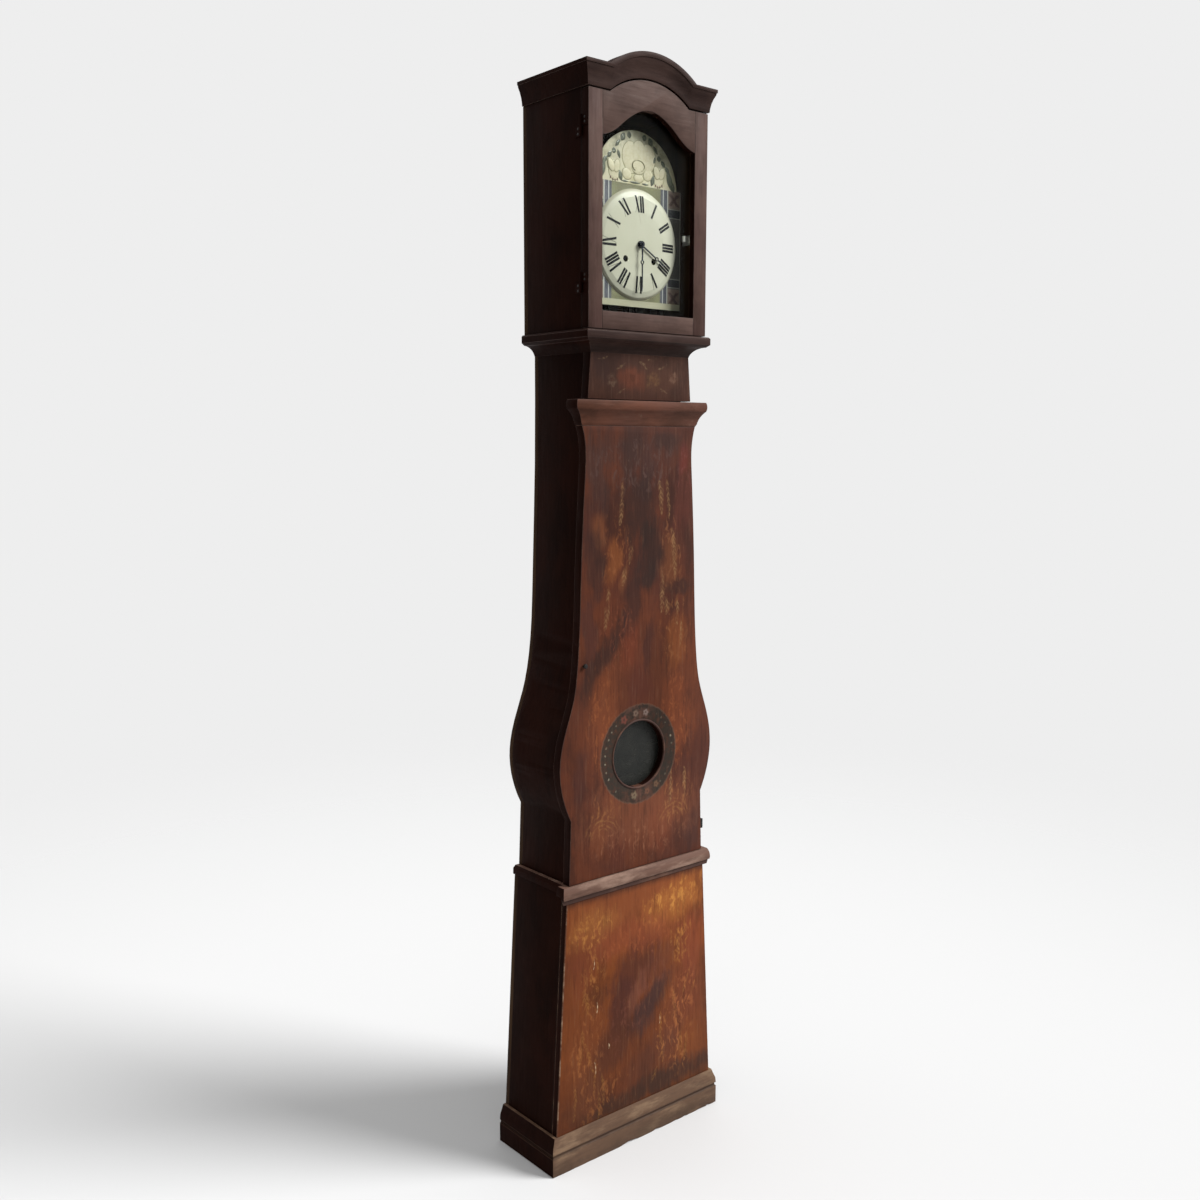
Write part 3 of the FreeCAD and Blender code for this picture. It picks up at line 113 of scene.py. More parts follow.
class Graph:
    """Shader nodes of one tree, made with short calls. A colour is a socket or a paint's six hex digits."""

    def __init__(self, tree: NodeTree) -> None:
        """Keep the tree that the calls add to."""
        self.tree = tree

    def add(self, kind: str, inputs: dict[Union[int, str], Any], **settings: object) -> bpy.types.Node:
        """Add one node.

        Args:
            kind: Blender's type name of the node, without ShaderNode.
            inputs: What is fed in, by an input's number or name.
            **settings: Properties set on the node before that.

        Returns:
            The new node.
        """
        node = self.tree.nodes.new("ShaderNode" + kind)
        for name, value in settings.items():
            setattr(node, name, value)
        for key, value in inputs.items():
            self.feed(node.inputs[key], value)
        return node

    def feed(self, target: Socket, value: Any) -> None:
        """Link a socket into another, or set a paint or a plain value on it.

        Args:
            target: The input socket.
            value: An output socket, a paint's digits or a value.
        """
        if isinstance(value, bpy.types.NodeSocket):
            self.tree.links.new(value, target)
        else:
            target.default_value = paint(value) if isinstance(value, str) else value

    def calc(self, operation: str, a: Scalar, b: Scalar = 0.0) -> Socket:
        """Give the result of a Math node's operation on one or two values."""
        return self.add("Math", {0: a, 1: b}, operation=operation).outputs[0]

    def plus(self, a: Scalar, b: Scalar) -> Socket:
        """Give the sum of two values."""
        return self.calc("ADD", a, b)

    def minus(self, a: Scalar, b: Scalar) -> Socket:
        """Give the first value less the second."""
        return self.calc("SUBTRACT", a, b)

    def times(self, *values: Scalar) -> Socket:
        """Give the product of several values."""
        return reduce(lambda a, b: self.calc("MULTIPLY", a, b), values)

    def over(self, a: Scalar, b: Scalar) -> Socket:
        """Give the first value divided by the second."""
        return self.calc("DIVIDE", a, b)

    def size(self, value: Scalar) -> Socket:
        """Give a value without its sign."""
        return self.calc("ABSOLUTE", value)

    def largest(self, values: Iterable[Socket]) -> Socket:
        """Give the largest of several values."""
        return reduce(lambda a, b: self.calc("MAXIMUM", a, b), values)

    def length(self, a: Scalar, b: Scalar) -> Socket:
        """Give the length of a flat vector by its two parts."""
        return self.calc("SQRT", self.plus(self.times(a, a), self.times(b, b)))

    def span(self, value: Scalar, low: Scalar, high: Scalar) -> Socket:
        """Ease a value from 0 at low to 1 at high; low may be the larger."""
        return self.add("MapRange", {0: value, 1: low, 2: high}, interpolation_type="SMOOTHSTEP").outputs[0]

    def inside(self, value: Scalar, low: float, high: float, edge: float) -> Socket:
        """Give 1 where a value lies between low and high, with edges of some softness."""
        return self.times(self.span(value, low - edge, low + edge), self.span(value, high + edge, high - edge))

    def mix(self, factor: Scalar, a: Colour, b: Colour) -> Socket:
        """Mix two colours; the factor is the share of the second."""
        return self.add("Mix", {0: factor, 6: a, 7: b}, data_type="RGBA").outputs[2]

    def cover(self, colour: Colour, mask: Scalar, tone: Colour, share: float = 1.0) -> Socket:
        """Lay a share of a tone over a colour, where a mask is."""
        return self.mix(mask if share == 1.0 else self.times(mask, share), colour, tone)

    def vector(self, operation: str, *parts: Any) -> Socket:
        """Give the result of a Vector Math node's operation."""
        return self.add("VectorMath", dict(enumerate(parts)), operation=operation).outputs[0]

    def scaled(self, at: Socket, scale: Any) -> Socket:
        """Give a point times a scale for each axis."""
        return self.vector("MULTIPLY", at, scale)

    def noise(self, at: Socket, scale: Scalar, detail: float = 3.0, roughness: float = 0.55) -> Socket:
        """Give a noise from 0 to 1 at a point, by its scale, its octaves and how strong the finer ones are."""
        inputs = {"Vector": at, "Scale": scale, "Detail": detail, "Roughness": roughness}
        return self.add("TexNoise", inputs).outputs["Fac"]

    def wander(self, at: Socket, scale: float, amount: float) -> Socket:
        """Shift a point by a slow noise, so that what is painted there gets an unsteady edge.

        Args:
            at: The point.
            scale: The noise's scale.
            amount: The widest shift.

        Returns:
            The shifted point.
        """
        cloud = self.add("TexNoise", {"Vector": at, "Scale": scale}).outputs["Color"]
        return self.vector("ADD", at, self.vector("MULTIPLY_ADD", cloud, [amount] * 3, [-amount / 2] * 3))

    def laid(self, at: Socket, level: bool) -> Socket:
        """Give a point whose third axis runs along a board's grain, which is level or upright."""
        turn = {"Vector": at, "Rotation": (0.0, math.pi / 2, 0.0)}
        return self.add("VectorRotate", turn, rotation_type="EULER_XYZ").outputs[0] if level else at

    def parts(self, at: Socket) -> tuple[Socket, ...]:
        """Give a point's x, y and z."""
        return tuple(self.add("SeparateXYZ", {0: at}).outputs)

    def folded(self, at: Socket) -> tuple[Socket, ...]:
        """Give a point's x, y and z without their signs, for ornament that both halves share."""
        return self.parts(self.vector("ABSOLUTE", at))

    def place(self) -> Socket:
        """Give the point on the piece, in the clock's own frame."""
        return self.add("TexCoord", {}).outputs["Object"]

    def group(self, tree: NodeTree, at: Socket, **values: Scalar) -> Any:
        """Give the outputs of a shared effect at a point, with its other inputs by name."""
        return self.add("Group", {"Vector": at, **values}, node_tree=tree).outputs

    def rubbed(self, at: Socket, scale: float, amount: float) -> Socket:
        """Give the mask of rubbed and chipped patches at a point."""
        return self.group(rubbed_paint(), at, Scale=scale, Amount=amount)[0]

    def soiled(self, at: Socket, reach: float) -> Socket:
        """Give the mask of the floor's dirt, up to a height."""
        return self.group(floor_soil(), at, Reach=reach)[0]

    def clear(self, factor: Scalar, shader: Socket) -> None:
        """Let a material be clear where a factor is 1.

        Args:
            factor: How clear it is.
            shader: The material's shader.
        """
        glass = self.add("BsdfTransparent", {}).outputs[0]
        output = next(node for node in self.tree.nodes if node.type == "OUTPUT_MATERIAL")
        self.feed(output.inputs["Surface"], self.add("MixShader", {0: factor, 1: shader, 2: glass}).outputs[0])


def effect(name: str, inputs: Sequence[str], outputs: Sequence[str]) -> tuple[Graph, Any, Any]:
    """Start a shared effect as a node group.

    Args:
        name: The group's name.
        inputs: Names of its number inputs; the input Vector comes first in every group.
        outputs: Names of its number outputs.

    Returns:
        The group's graph, what it takes and what it gives, by name.
    """
    tree = bpy.data.node_groups.new(name, "ShaderNodeTree")
    tree.interface.new_socket(name="Vector", in_out="INPUT", socket_type="NodeSocketVector")
    for way, labels in (("INPUT", inputs), ("OUTPUT", outputs)):
        for label in labels:
            tree.interface.new_socket(name=label, in_out=way, socket_type="NodeSocketFloat")
    return Graph(tree), tree.nodes.new("NodeGroupInput").outputs, tree.nodes.new("NodeGroupOutput").inputs


def offset(g: Graph, taken: Any) -> tuple[Socket, Socket]:
    """Give how far a group's point lies to the right of its X and above its Z."""
    x, _, z = g.parts(taken["Vector"])
    return g.minus(x, taken["X"]), g.minus(z, taken["Z"])


def along_across(g: Graph, taken: Any) -> tuple[Socket, Socket]:
    """Give a group's point along and across a line that starts at its X and Z and leans by its Angle.

    Args:
        g: The group's graph.
        taken: What the group takes.

    Returns:
        The place along the line and the place across it.
    """
    dx, dz = offset(g, taken)
    cos, sin = g.calc("COSINE", taken["Angle"]), g.calc("SINE", taken["Angle"])
    return g.plus(g.times(dx, cos), g.times(dz, sin)), g.minus(g.times(dz, cos), g.times(dx, sin))


@cache
def brush_grain() -> NodeTree:
    """Give the effect of drawn-out brush marks and larger clouds of paint.

    Returns:
        The group, made at the first call.
    """
    g, taken, given = effect("brush_grain", ("Across", "Along", "Cloud"), ("Streak", "Patch"))
    pull = g.add("CombineXYZ", {0: taken["Across"], 1: taken["Across"], 2: taken["Along"]}).outputs[0]
    g.feed(given["Streak"], g.noise(g.scaled(taken["Vector"], pull), 1.0, 5.0, 0.62))
    g.feed(given["Patch"], g.noise(taken["Vector"], taken["Cloud"], 4.0, 0.6))
    return g.tree


@cache
def leaf_stroke() -> NodeTree:
    """Give the effect of one brushed leaf: a tapered, bent stroke with barbs.

    Returns:
        The group, made at the first call.
    """
    g, taken, given = effect("leaf_stroke", ("X", "Z", "Angle", "Length", "Width", "Bend"), ("Mask",))
    along, across = along_across(g, taken)
    share = g.over(along, taken["Length"])
    square = g.times(share, share)
    side = g.size(g.minus(across, g.times(square, taken["Bend"])))
    taper = g.calc("SQRT", g.calc("MAXIMUM", g.minus(1.0, square), 0.0))
    body = g.span(g.over(side, g.plus(g.times(taken["Width"], taper), 1e-6)), 1.1, 0.3)
    barb = g.calc("SINE", g.plus(g.times(along, 540.0), g.times(side, 900.0)))
    g.feed(given["Mask"], g.times(body, g.plus(g.times(barb, 0.4), 0.6), g.span(square, 1.0, 0.8)))
    return g.tree


@cache
def soft_cloud() -> NodeTree:
    """Give the effect of one soft cloud of paint: a leaning oval with a ragged edge.

    Returns:
        The group, made at the first call.
    """
    g, taken, given = effect("soft_cloud", ("X", "Z", "Angle", "Length", "Width", "Ragged"), ("Mask",))
    along, across = along_across(g, taken)
    spread = g.length(g.over(along, taken["Length"]), g.over(across, taken["Width"]))
    g.feed(given["Mask"], g.span(g.plus(spread, taken["Ragged"]), 1.2, 0.4))
    return g.tree


@cache
def blossom() -> NodeTree:
    """Give the effect of one painted flower with five round petals and a heart.

    Returns:
        The group, made at the first call.
    """
    g, taken, given = effect("blossom", ("X", "Z", "Radius"), ("Petal", "Heart"))
    dx, dz = offset(g, taken)
    reach = g.length(dx, dz)
    wave = g.size(g.calc("COSINE", g.times(g.calc("ARCTAN2", dz, dx), 2.5)))
    rim = g.times(taken["Radius"], g.plus(0.72, g.times(wave, 0.28)))
    g.feed(given["Petal"], g.span(g.over(reach, rim), 1.15, 0.55))
    g.feed(given["Heart"], g.span(g.over(reach, taken["Radius"]), 0.36, 0.18))
    return g.tree


@cache
def rubbed_paint() -> NodeTree:
    """Give the effect of rubbed and chipped patches.

    Returns:
        The group, made at the first call.
    """
    g, taken, given = effect("rubbed_paint", ("Scale", "Amount"), ("Mask",))
    limit = g.minus(1.0, taken["Amount"])
    coarse = g.noise(taken["Vector"], taken["Scale"], 6.0, 0.7)
    g.feed(given["Mask"], g.span(coarse, g.minus(limit, 0.05), g.plus(limit, 0.05)))
    return g.tree


@cache
def floor_soil() -> NodeTree:
    """Give the effect of dirt that thickens towards the floor.

    Returns:
        The group, made at the first call.
    """
    g, taken, given = effect("floor_soil", ("Reach",), ("Mask",))
    low = g.span(g.parts(taken["Vector"])[2], taken["Reach"], 0.0)
    g.feed(given["Mask"], g.times(low, g.span(g.noise(taken["Vector"], 9.0, 5.0, 0.65), 0.3, 0.7)))
    return g.tree


@dataclass
class Surface:
    """What a finish gives to the shader: sockets for what changes over the piece."""

    colour: Colour
    roughness: Scalar = 0.6
    height: Optional[Socket] = None
    relief: float = 0.0002


@dataclass(frozen=True)
class Finish:
    """A surface finish, made into one material."""

    name: str
    metallic: float = 0.0
    specular: float = 0.5

    def surface(self, g: Graph, at: Socket) -> Surface:
        """Give the finish's colour, roughness and relief.

        Args:
            g: The material's graph.
            at: The point on the piece.

        Returns:
            The surface.
        """
        raise NotImplementedError

    def material(self) -> bpy.types.Material:
        """Give the finish's material, made at the first call.

        Returns:
            The material.
        """
        known = bpy.data.materials.get(self.name)
        if known:
            return known
        material = bpy.data.materials.new(self.name)
        material.use_nodes = True
        g = Graph(material.node_tree)
        surface = self.surface(g, g.place())
        values = {"Base Color": surface.colour, "Roughness": surface.roughness, "Metallic": self.metallic,
                  "Specular IOR Level": self.specular}
        if surface.height is not None:
            values["Normal"] = g.add("Bump", {"Distance": surface.relief, "Height": surface.height}).outputs[0]
        shader = material.node_tree.nodes["Principled BSDF"]
        for name, value in values.items():
            g.feed(shader.inputs[name], value)
        self.finish_shader(g, shader)
        return material

    def finish_shader(self, g: Graph, shader: bpy.types.Node) -> None:
        """Set what only some finishes have on the shader."""


@dataclass(frozen=True)
class Mark:
    """One mark of the brush by its place, lean, half length and half width, in millimetres and degrees."""

    x: float
    z: float
    angle: float
    length: float
    width: float

    @classmethod
    def rows(cls, *rows: tuple) -> tuple:
        """Give a mark for each row of fields."""
        return tuple(cls(*row) for row in rows)

    def drawn(self, g: Graph, tree: NodeTree, at: Socket, **values: Scalar) -> Socket:
        """Give the mask of the mark at a point, drawn by an effect."""
        return g.group(tree, at, X=self.x * MM, Z=self.z * MM, Angle=math.radians(self.angle),
                       Length=self.length * MM, Width=self.width * MM, **values)[0]


@dataclass(frozen=True)
class Stroke(Mark):
    """One leaf stroke."""

    bend: float = 2.0

    def mask(self, g: Graph, at: Socket) -> Socket:
        """Give the stroke's mask at a point."""
        return self.drawn(g, leaf_stroke(), at, Bend=self.bend * MM)


@dataclass(frozen=True)
class Cloud(Mark):
    """One soft cloud of paint."""

    tone: str
    strength: float = 0.7

    def lay(self, g: Graph, at: Socket, ragged: Socket, colour: Socket, *body: Socket) -> Socket:
        """Lay the cloud over a colour.

        Args:
            g: The material's graph.
            at: The point on the piece.
            ragged: How far the edge strays, as a share of the cloud.
            colour: The colour under it.
            *body: How much paint there is at the point; without it the cloud is whole.

        Returns:
            The colour with the cloud.
        """
        mask = self.drawn(g, soft_cloud(), at, Ragged=ragged)
        return g.cover(colour, g.times(mask, self.strength, *body), self.tone)


def spray(x: float, z: float, reach: float, angles: Iterable[float], length: float, width: float) -> tuple[Stroke, ...]:
    """Give leaf strokes that fan out from a point.

    Args:
        x: The point's place across the panel.
        z: Its height.
        reach: Distance from the point to each leaf's middle.
        angles: The leaves' directions, in degrees.
        length: Half of a leaf's length.
        width: Half of its width.

    Returns:
        The strokes.
    """
    turns = [(angle, math.radians(angle)) for angle in angles]
    return Stroke.rows(*((x + reach * math.cos(turn), z + reach * math.sin(turn), angle, length, width, 3.0)
                         for angle, turn in turns))


@dataclass(frozen=True)
class GrainedPaint(Finish):
    """Old paint that imitates grained wood: brushed clouds over a ground, fine fibres, rubbed places."""

    ground: str = "5c392e"
    shade: str = "3a2622"
    warm: str = "74452c"
    across: float = 190.0
    along: float = 15.0
    cloud: float = 5.0
    mottle: float = 0.55
    fibre: float = 0.34
    rub: str = "7d6252"
    rubbed: float = 0.27
    soil: float = 0.0
    level_grain: bool = False
    specular: float = 0.07
    clouds: tuple[Cloud, ...] = ()
    dabs: tuple[Cloud, ...] = ()
    strokes: tuple[Stroke, ...] = ()
    stroke_tone: str = "8a6848"
    stroke_strength: float = 0.6

    def surface(self, g: Graph, at: Socket) -> Surface:
        """Give the grained paint.

        Args:
            g: The material's graph.
            at: The point on the piece.

        Returns:
            The surface.
        """
        lie = g.laid(at, self.level_grain)
        grain = g.group(brush_grain(), lie, Across=self.across, Along=self.along, Cloud=self.cloud)
        streak = grain["Streak"]
        colour = g.mix(g.span(grain["Patch"], 0.38, 0.64), self.ground, self.warm)
        drawn = g.noise(g.scaled(lie, (1.0, 1.0, 0.45)), self.cloud * 3.0, 5.0, 0.62)
        colour = g.cover(colour, g.span(drawn, 0.46, 0.68), self.shade, self.mottle)
        colour = self.ornament(g, at, colour)
        colour = g.cover(colour, g.span(streak, 0.50, 0.74), self.shade, self.fibre)
        colour = g.cover(colour, g.span(streak, 0.46, 0.28), self.rub, self.fibre * 0.5)
        colour = g.cover(colour, g.rubbed(at, 46.0, self.rubbed), self.rub, 0.4)
        if self.soil > 0:
            colour = g.cover(colour, g.soiled(at, self.soil), "2b1d17", 0.75)
        return Surface(colour, g.plus(0.42, g.times(streak, 0.3)), streak, 0.0003)

    def ornament(self, g: Graph, at: Socket, colour: Socket) -> Socket:
        """Paint the clouds and the leaf strokes over the ground.

        Args:
            g: The material's graph.
            at: The point on the piece.
            colour: The ground's colour.

        Returns:
            The colour with its ornament.
        """
        if not self.clouds:
            return colour
        loose, tight = g.wander(at, 11.0, 0.055), g.wander(at, 70.0, 0.012)
        ragged = g.times(g.minus(g.noise(g.scaled(at, (1.0, 1.0, 0.3)), 52.0, 6.0, 0.7), 0.5), 1.7)
        for cloud in self.clouds:
            colour = cloud.lay(g, loose, ragged, colour)
        drawn = g.noise(g.scaled(g.wander(at, 26.0, 0.035), (1.0, 1.0, 0.32)), 105.0, 3.0, 0.6)
        body = g.span(drawn, 0.50, 0.68)
        for dab in self.dabs:
            colour = dab.lay(g, loose, ragged, colour, body)
        mask = g.largest(stroke.mask(g, tight) for stroke in self.strokes)
        faded = g.span(g.noise(g.scaled(at, (1.0, 1.0, 0.6)), 60.0, 5.0, 0.68), 0.34, 0.62)
        return g.cover(colour, g.times(mask, faded), self.stroke_tone, self.stroke_strength)


@dataclass(frozen=True)
class DoorPainting(GrainedPaint):
    """Graining of the trunk door: smoky clouds, feathered strokes, two fans and the lenticle's painted ring."""

    lenticle_z: float = 894.0
    hole: float = 73.0
    ring: float = 110.0
    dots: int = 34
    dot_reach: float = 97.5
    flower_reach: float = 92.0
    flowers: tuple[tuple[float, float, str], ...] = (
        (118, 11.0, "7d463b"), (96, 9.0, "806a5c"), (78, 9.0, "94827a"), (262, 10.0, "80705a"), (286, 8.0, "6e4a38"),
        (304, 9.0, "705440"))
    fan: Pair = (104.0, 722.0)
    fan_band: Pair = (18.0, 52.0)
    fan_rise: Pair = (2.0, 24.0)
    fan_beat: float = 640.0
    clouds: tuple[Cloud, ...] = Cloud.rows(
        (0, 1010, 0, 260, 190, "5f3422", 0.55), (-100, 1000, 85, 110, 42, "754028", 0.6),
        (112, 965, 95, 110, 52, "743e27", 0.55), (0, 1050, 90, 70, 44, "4b2720", 0.6),
        (-28, 1140, 90, 62, 36, "6b3524", 0.6), (108, 1125, 90, 60, 30, "7a4628", 0.65),
        (-115, 1385, 90, 42, 26, "76462d", 0.75), (-78, 1322, 82, 55, 26, "794628", 0.8),
        (-44, 1278, 85, 42, 13, "72452d", 0.65), (86, 1312, 92, 62, 24, "683e28", 0.7),
        (128, 1535, 90, 40, 20, "622d26", 0.75), (122, 1440, 90, 80, 26, "583028", 0.5),
        (-118, 1500, 90, 103, 39, "3e2e2b", 0.57), (-30, 1555, 80, 57, 34, "342623", 0.61),
        (80, 1566, 10, 46, 25, "302421", 0.66), (20, 1510, 88, 70, 26, "412b28", 0.6),
        (4, 1436, 86, 101, 55, "2e221f", 0.7), (36, 1335, 82, 92, 39, "2c211e", 0.7),
        (30, 1280, 20, 44, 30, "2e2320", 0.61), (-22, 1232, 80, 92, 28, "342421", 0.66),
        (-128, 1322, 90, 83, 34, "362623", 0.61), (-106, 1112, 58, 110, 28, "30221f", 0.74),
        (-140, 1180, 88, 90, 26, "462c28", 0.6), (116, 1258, 0, 39, 23, "30221f", 0.66),
        (30, 1118, 88, 64, 15, "39221f", 0.61), (-60, 690, 90, 70, 34, "512c24", 0.5),
        (160, 690, 90, 70, 30, "412a25", 0.7), (-120, 726, 80, 50, 34, "754028", 0.5),
        (60, 730, 90, 70, 46, "6d3725", 0.5), (0, 1570, 0, 190, 90, "463430", 0.35),
        (0, 760, 0, 210, 80, "7d4b35", 0.45), (-165, 860, 85, 70, 22, "422925", 0.55))
    dabs: tuple[Cloud, ...] = Cloud.rows(
        (-70, 1335, 85, 90, 46, "8a5434"), (92, 1335, 92, 100, 34, "7d5136"), (100, 1160, 90, 90, 40, "8a5938"),
        (-60, 1150, 90, 80, 60, "7a4330", 0.6), (-110, 980, 85, 110, 46, "8a5030"), (112, 960, 92, 120, 50, "8a4f31"),
        (110, 780, 85, 60, 50, "90603c"), (-110, 760, 85, 60, 50, "8c5a38"), (0, 700, 0, 150, 50, "8a5a42", 0.6),
        (130, 1500, 90, 70, 22, "74403a", 0.6), (0, 1520, 0, 150, 60, "5a443e", 0.6))
    strokes: tuple[Stroke, ...] = Stroke.rows(
        (-52, 1438, 86, 48, 7), (60, 1450, 96, 40, 8), (82, 1446, 96, 44, 6), (100, 1330, 95, 56, 9),
        (66, 1246, 90, 50, 8), (79, 1214, 90, 22, 9), (-92, 1218, 84, 48, 8), (-27, 1335, 85, 26, 7),
        (-44, 1287, 80, 22, 7), (112, 1196, 88, 30, 7), (124, 1146, 90, 34, 6), (96, 800, 86, 46, 6),
        (140, 806, 92, 40, 6))
    stroke_tone: str = "97744f"

    def ornament(self, g: Graph, at: Socket, colour: Socket) -> Socket:
        """Paint the door's ornament over its ground, with the fans and the lenticle's ring on top."""
        colour = g.cover(super().ornament(g, at, colour), self.fans(g, at), "94683f", 0.42)
        return self.lenticle(g, at, colour)

    def fans(self, g: Graph, at: Socket) -> Socket:
        """Give the mask of the two fans of arcs below the lenticle.

        Args:
            g: The material's graph.
            at: The point on the door.

        Returns:
            The mask.
        """
        x, _, z = g.folded(g.wander(at, 45.0, 0.016))
        across, up, near, far, start, full = (part * MM for part in (*self.fan, *self.fan_band, *self.fan_rise))
        dz = g.minus(z, up)
        reach = g.length(g.minus(x, across), dz)
        arcs = g.span(g.calc("SINE", g.times(reach, self.fan_beat)), 0.0, 0.95)
        worn = g.span(g.noise(at, 70.0, 4.0, 0.65), 0.38, 0.60)
        return g.times(arcs, g.inside(reach, near, far, 0.006), worn, g.span(dz, start, full))

    def lenticle(self, g: Graph, at: Socket, colour: Socket) -> Socket:
        """Paint the dark ring with its dots and flowers.

        Args:
            g: The material's graph.
            at: The point on the door.
            colour: The colour under the ring.

        Returns:
            The colour with the ring.
        """
        hole, ring, pitch = self.hole * MM, self.ring * MM, math.tau / self.dots
        unsteady = g.wander(at, 120.0, 0.006)
        x, _, z = g.parts(unsteady)
        dz = g.minus(z, self.lenticle_z * MM)
        reach = g.length(x, dz)
        dark = g.inside(reach, hole, ring, 0.0016)
        rubbed = g.span(g.noise(at, 90.0, 5.0, 0.7), 0.66, 0.46)
        colour = g.cover(colour, g.times(dark, g.plus(0.66, g.times(rubbed, 0.28))), "2e2a25")
        colour = g.cover(colour, g.inside(reach, ring - 0.002, ring + 0.0015, 0.001), "6f5344", 0.35)
        steep = g.over(g.size(x), g.plus(reach, 1e-5))
        bare = g.times(g.span(steep, 0.52, 0.26), dark, g.span(g.noise(at, 60.0, 4.0), 0.36, 0.58))
        colour = g.cover(colour, bare, "5c4036", 0.7)
        beat = g.minus(g.calc("FRACT", g.times(g.calc("ARCTAN2", dz, x), 1 / pitch)), 0.5)
        apart = g.length(g.times(beat, reach, pitch), g.minus(reach, self.dot_reach * MM))
        dots = g.times(g.span(apart, 0.0034, 0.0008), g.span(steep, 0.5, 0.62))
        colour = g.cover(colour, g.times(dots, g.span(g.noise(at, 50.0), 0.34, 0.72)), "857d6b")
        for angle, radius, tone in self.flowers:
            lean = Vector((math.cos(math.radians(angle)), math.sin(math.radians(angle)))) * self.flower_reach
            flower = g.group(blossom(), unsteady, X=lean.x * MM, Z=(self.lenticle_z + lean.y) * MM, Radius=radius * MM)
            colour = g.cover(colour, flower["Petal"], tone, 0.62)
            colour = g.cover(colour, flower["Heart"], "45302a", 0.7)
        return colour


@dataclass(frozen=True)
class PanelPainting(GrainedPaint):
    """Graining of the base panel: a dark cloud in the middle, with ochre plumes and scratches round it, and painted
    shade along its top under the waist moulding.
    """

    clouds: tuple[Cloud, ...] = Cloud.rows(
        (0, 575, 0, 260, 70, "7c4427", 0.7), (110, 535, 15, 110, 60, "92582b", 0.65),
        (-125, 528, 0, 80, 50, "88532c", 0.6), (-20, 480, 0, 170, 52, "793e28", 0.6),
        (165, 420, 90, 90, 48, "763a26", 0.55), (-165, 430, 90, 90, 40, "663422", 0.5),
        (150, 310, 90, 110, 60, "6b3724", 0.45), (-150, 250, 85, 120, 60, "663822", 0.5),
        (-10, 395, 40, 95, 62, "48271e", 0.75), (-48, 330, 82, 80, 40, "42241e", 0.75),
        (58, 385, 60, 80, 40, "563024", 0.5), (-4, 340, 65, 70, 22, "6a3f30", 0.55),
        (38, 302, 42, 88, 34, "3a2724", 0.85), (-70, 240, 60, 90, 46, "48281c", 0.65),
        (100, 205, 90, 90, 36, "653724", 0.5), (40, 180, 30, 100, 50, "502e22", 0.5),
        (-150, 140, 85, 70, 60, "5f3825", 0.5), (120, 118, 5, 150, 32, "37241d", 0.8),
        (-40, 105, 5, 140, 28, "3c271e", 0.75))
    dabs: tuple[Cloud, ...] = Cloud.rows(
        (100, 545, 12, 100, 44, "b97f3e", 0.65), (-125, 525, 10, 64, 48, "a9713a", 0.58),
        (134, 425, 85, 70, 34, "b57a3c", 0.50), (-130, 430, 85, 90, 34, "a56c3a", 0.50),
        (150, 320, 80, 70, 40, "9c5c36", 0.50), (-145, 240, 80, 120, 46, "a06438", 0.50),
        (118, 235, 85, 110, 44, "9a5d36", 0.50), (74, 215, 90, 70, 22, "a86c3c", 0.50),
        (-100, 130, 30, 90, 40, "9a5f34", 0.50), (0, 470, 0, 130, 44, "92502f", 0.43),
        (140, 170, 80, 70, 40, "a0683a", 0.43), (0, 320, 50, 130, 60, "6d4032", 0.43))
    strokes: tuple[Stroke, ...] = (
        *spray(126, 528, 20, (15, 45, 75, 105, 135, 165), 17, 5), *spray(60, 538, 16, (20, 62, 104, 150), 15, 4),
        *spray(-147, 528, 17, (15, 52, 88, 124, 160), 16, 5), *spray(-88, 536, 12, (50, 95, 140), 13, 4), *Stroke.rows(
        (110, 512, 84, 26, 5), (124, 506, 90, 26, 6), (142, 512, 96, 26, 5), (84, 540, 48, 34, 4),
        (-136, 508, 85, 24, 6), (-156, 504, 95, 22, 6), (-112, 512, 80, 20, 5), (-126, 466, 78, 28, 5),
        (-118, 446, 95, 26, 4), (-134, 424, 88, 24, 4), (126, 414, 86, 30, 5), (139, 412, 94, 28, 5),
        (133, 446, 24, 18, 4), (104, 448, 88, 22, 4), (-152, 396, 80, 36, 6), (-146, 362, 96, 34, 6),
        (152, 330, 70, 36, 5), (168, 300, 62, 30, 5), (112, 288, 88, 36, 5), (120, 256, 94, 28, 5),
        (72, 240, 90, 46, 4), (78, 188, 92, 36, 4), (-162, 266, 84, 46, 7), (-140, 236, 108, 42, 6),
        (-124, 188, 86, 46, 5), (-100, 148, 94, 42, 5), (-112, 118, 88, 36, 5), (136, 186, 90, 36, 6),
        (152, 172, 80, 32, 5), (54, 132, 58, 22, 6), (-180, 140, 88, 40, 6)))
    nicks: tuple[Stroke, ...] = Stroke.rows(
        (-117, 345, 88, 13, 1.6), (-83, 246, 90, 7, 1.8), (-126, 446, 84, 12, 1.2), (70, 262, 90, 12, 1.0),
        (-122, 206, 95, 16, 1.2))
    stroke_tone: str = "ad783d"
    stroke_strength: float = 0.32
    # Painted shade: heights over which a dark band fades in at the panel's top, under the waist moulding, where its
    # shadow falls.
    waist_shade_band: Pair = (580.0, 602.0)

    def ornament(self, g: Graph, at: Socket, colour: Socket) -> Socket:
        """Paint the panel's ornament over its ground.

        Args:
            g: The material's graph.
            at: The point on the panel.
            colour: The ground's colour.

        Returns:
            The colour with its ornament.
        """
        scratches = g.largest(nick.mask(g, at) for nick in self.nicks)
        colour = g.cover(super().ornament(g, at, colour), scratches, "c7ae8c", 0.9)
        # Painted shade: darken the panel's top under the waist moulding, where the moulding casts its shadow.
        waist_shade_band = g.span(g.parts(g.wander(at, 40.0, 0.012))[2], *(part * MM for part in self.waist_shade_band))
        return g.cover(colour, waist_shade_band, "33201a", 0.8)


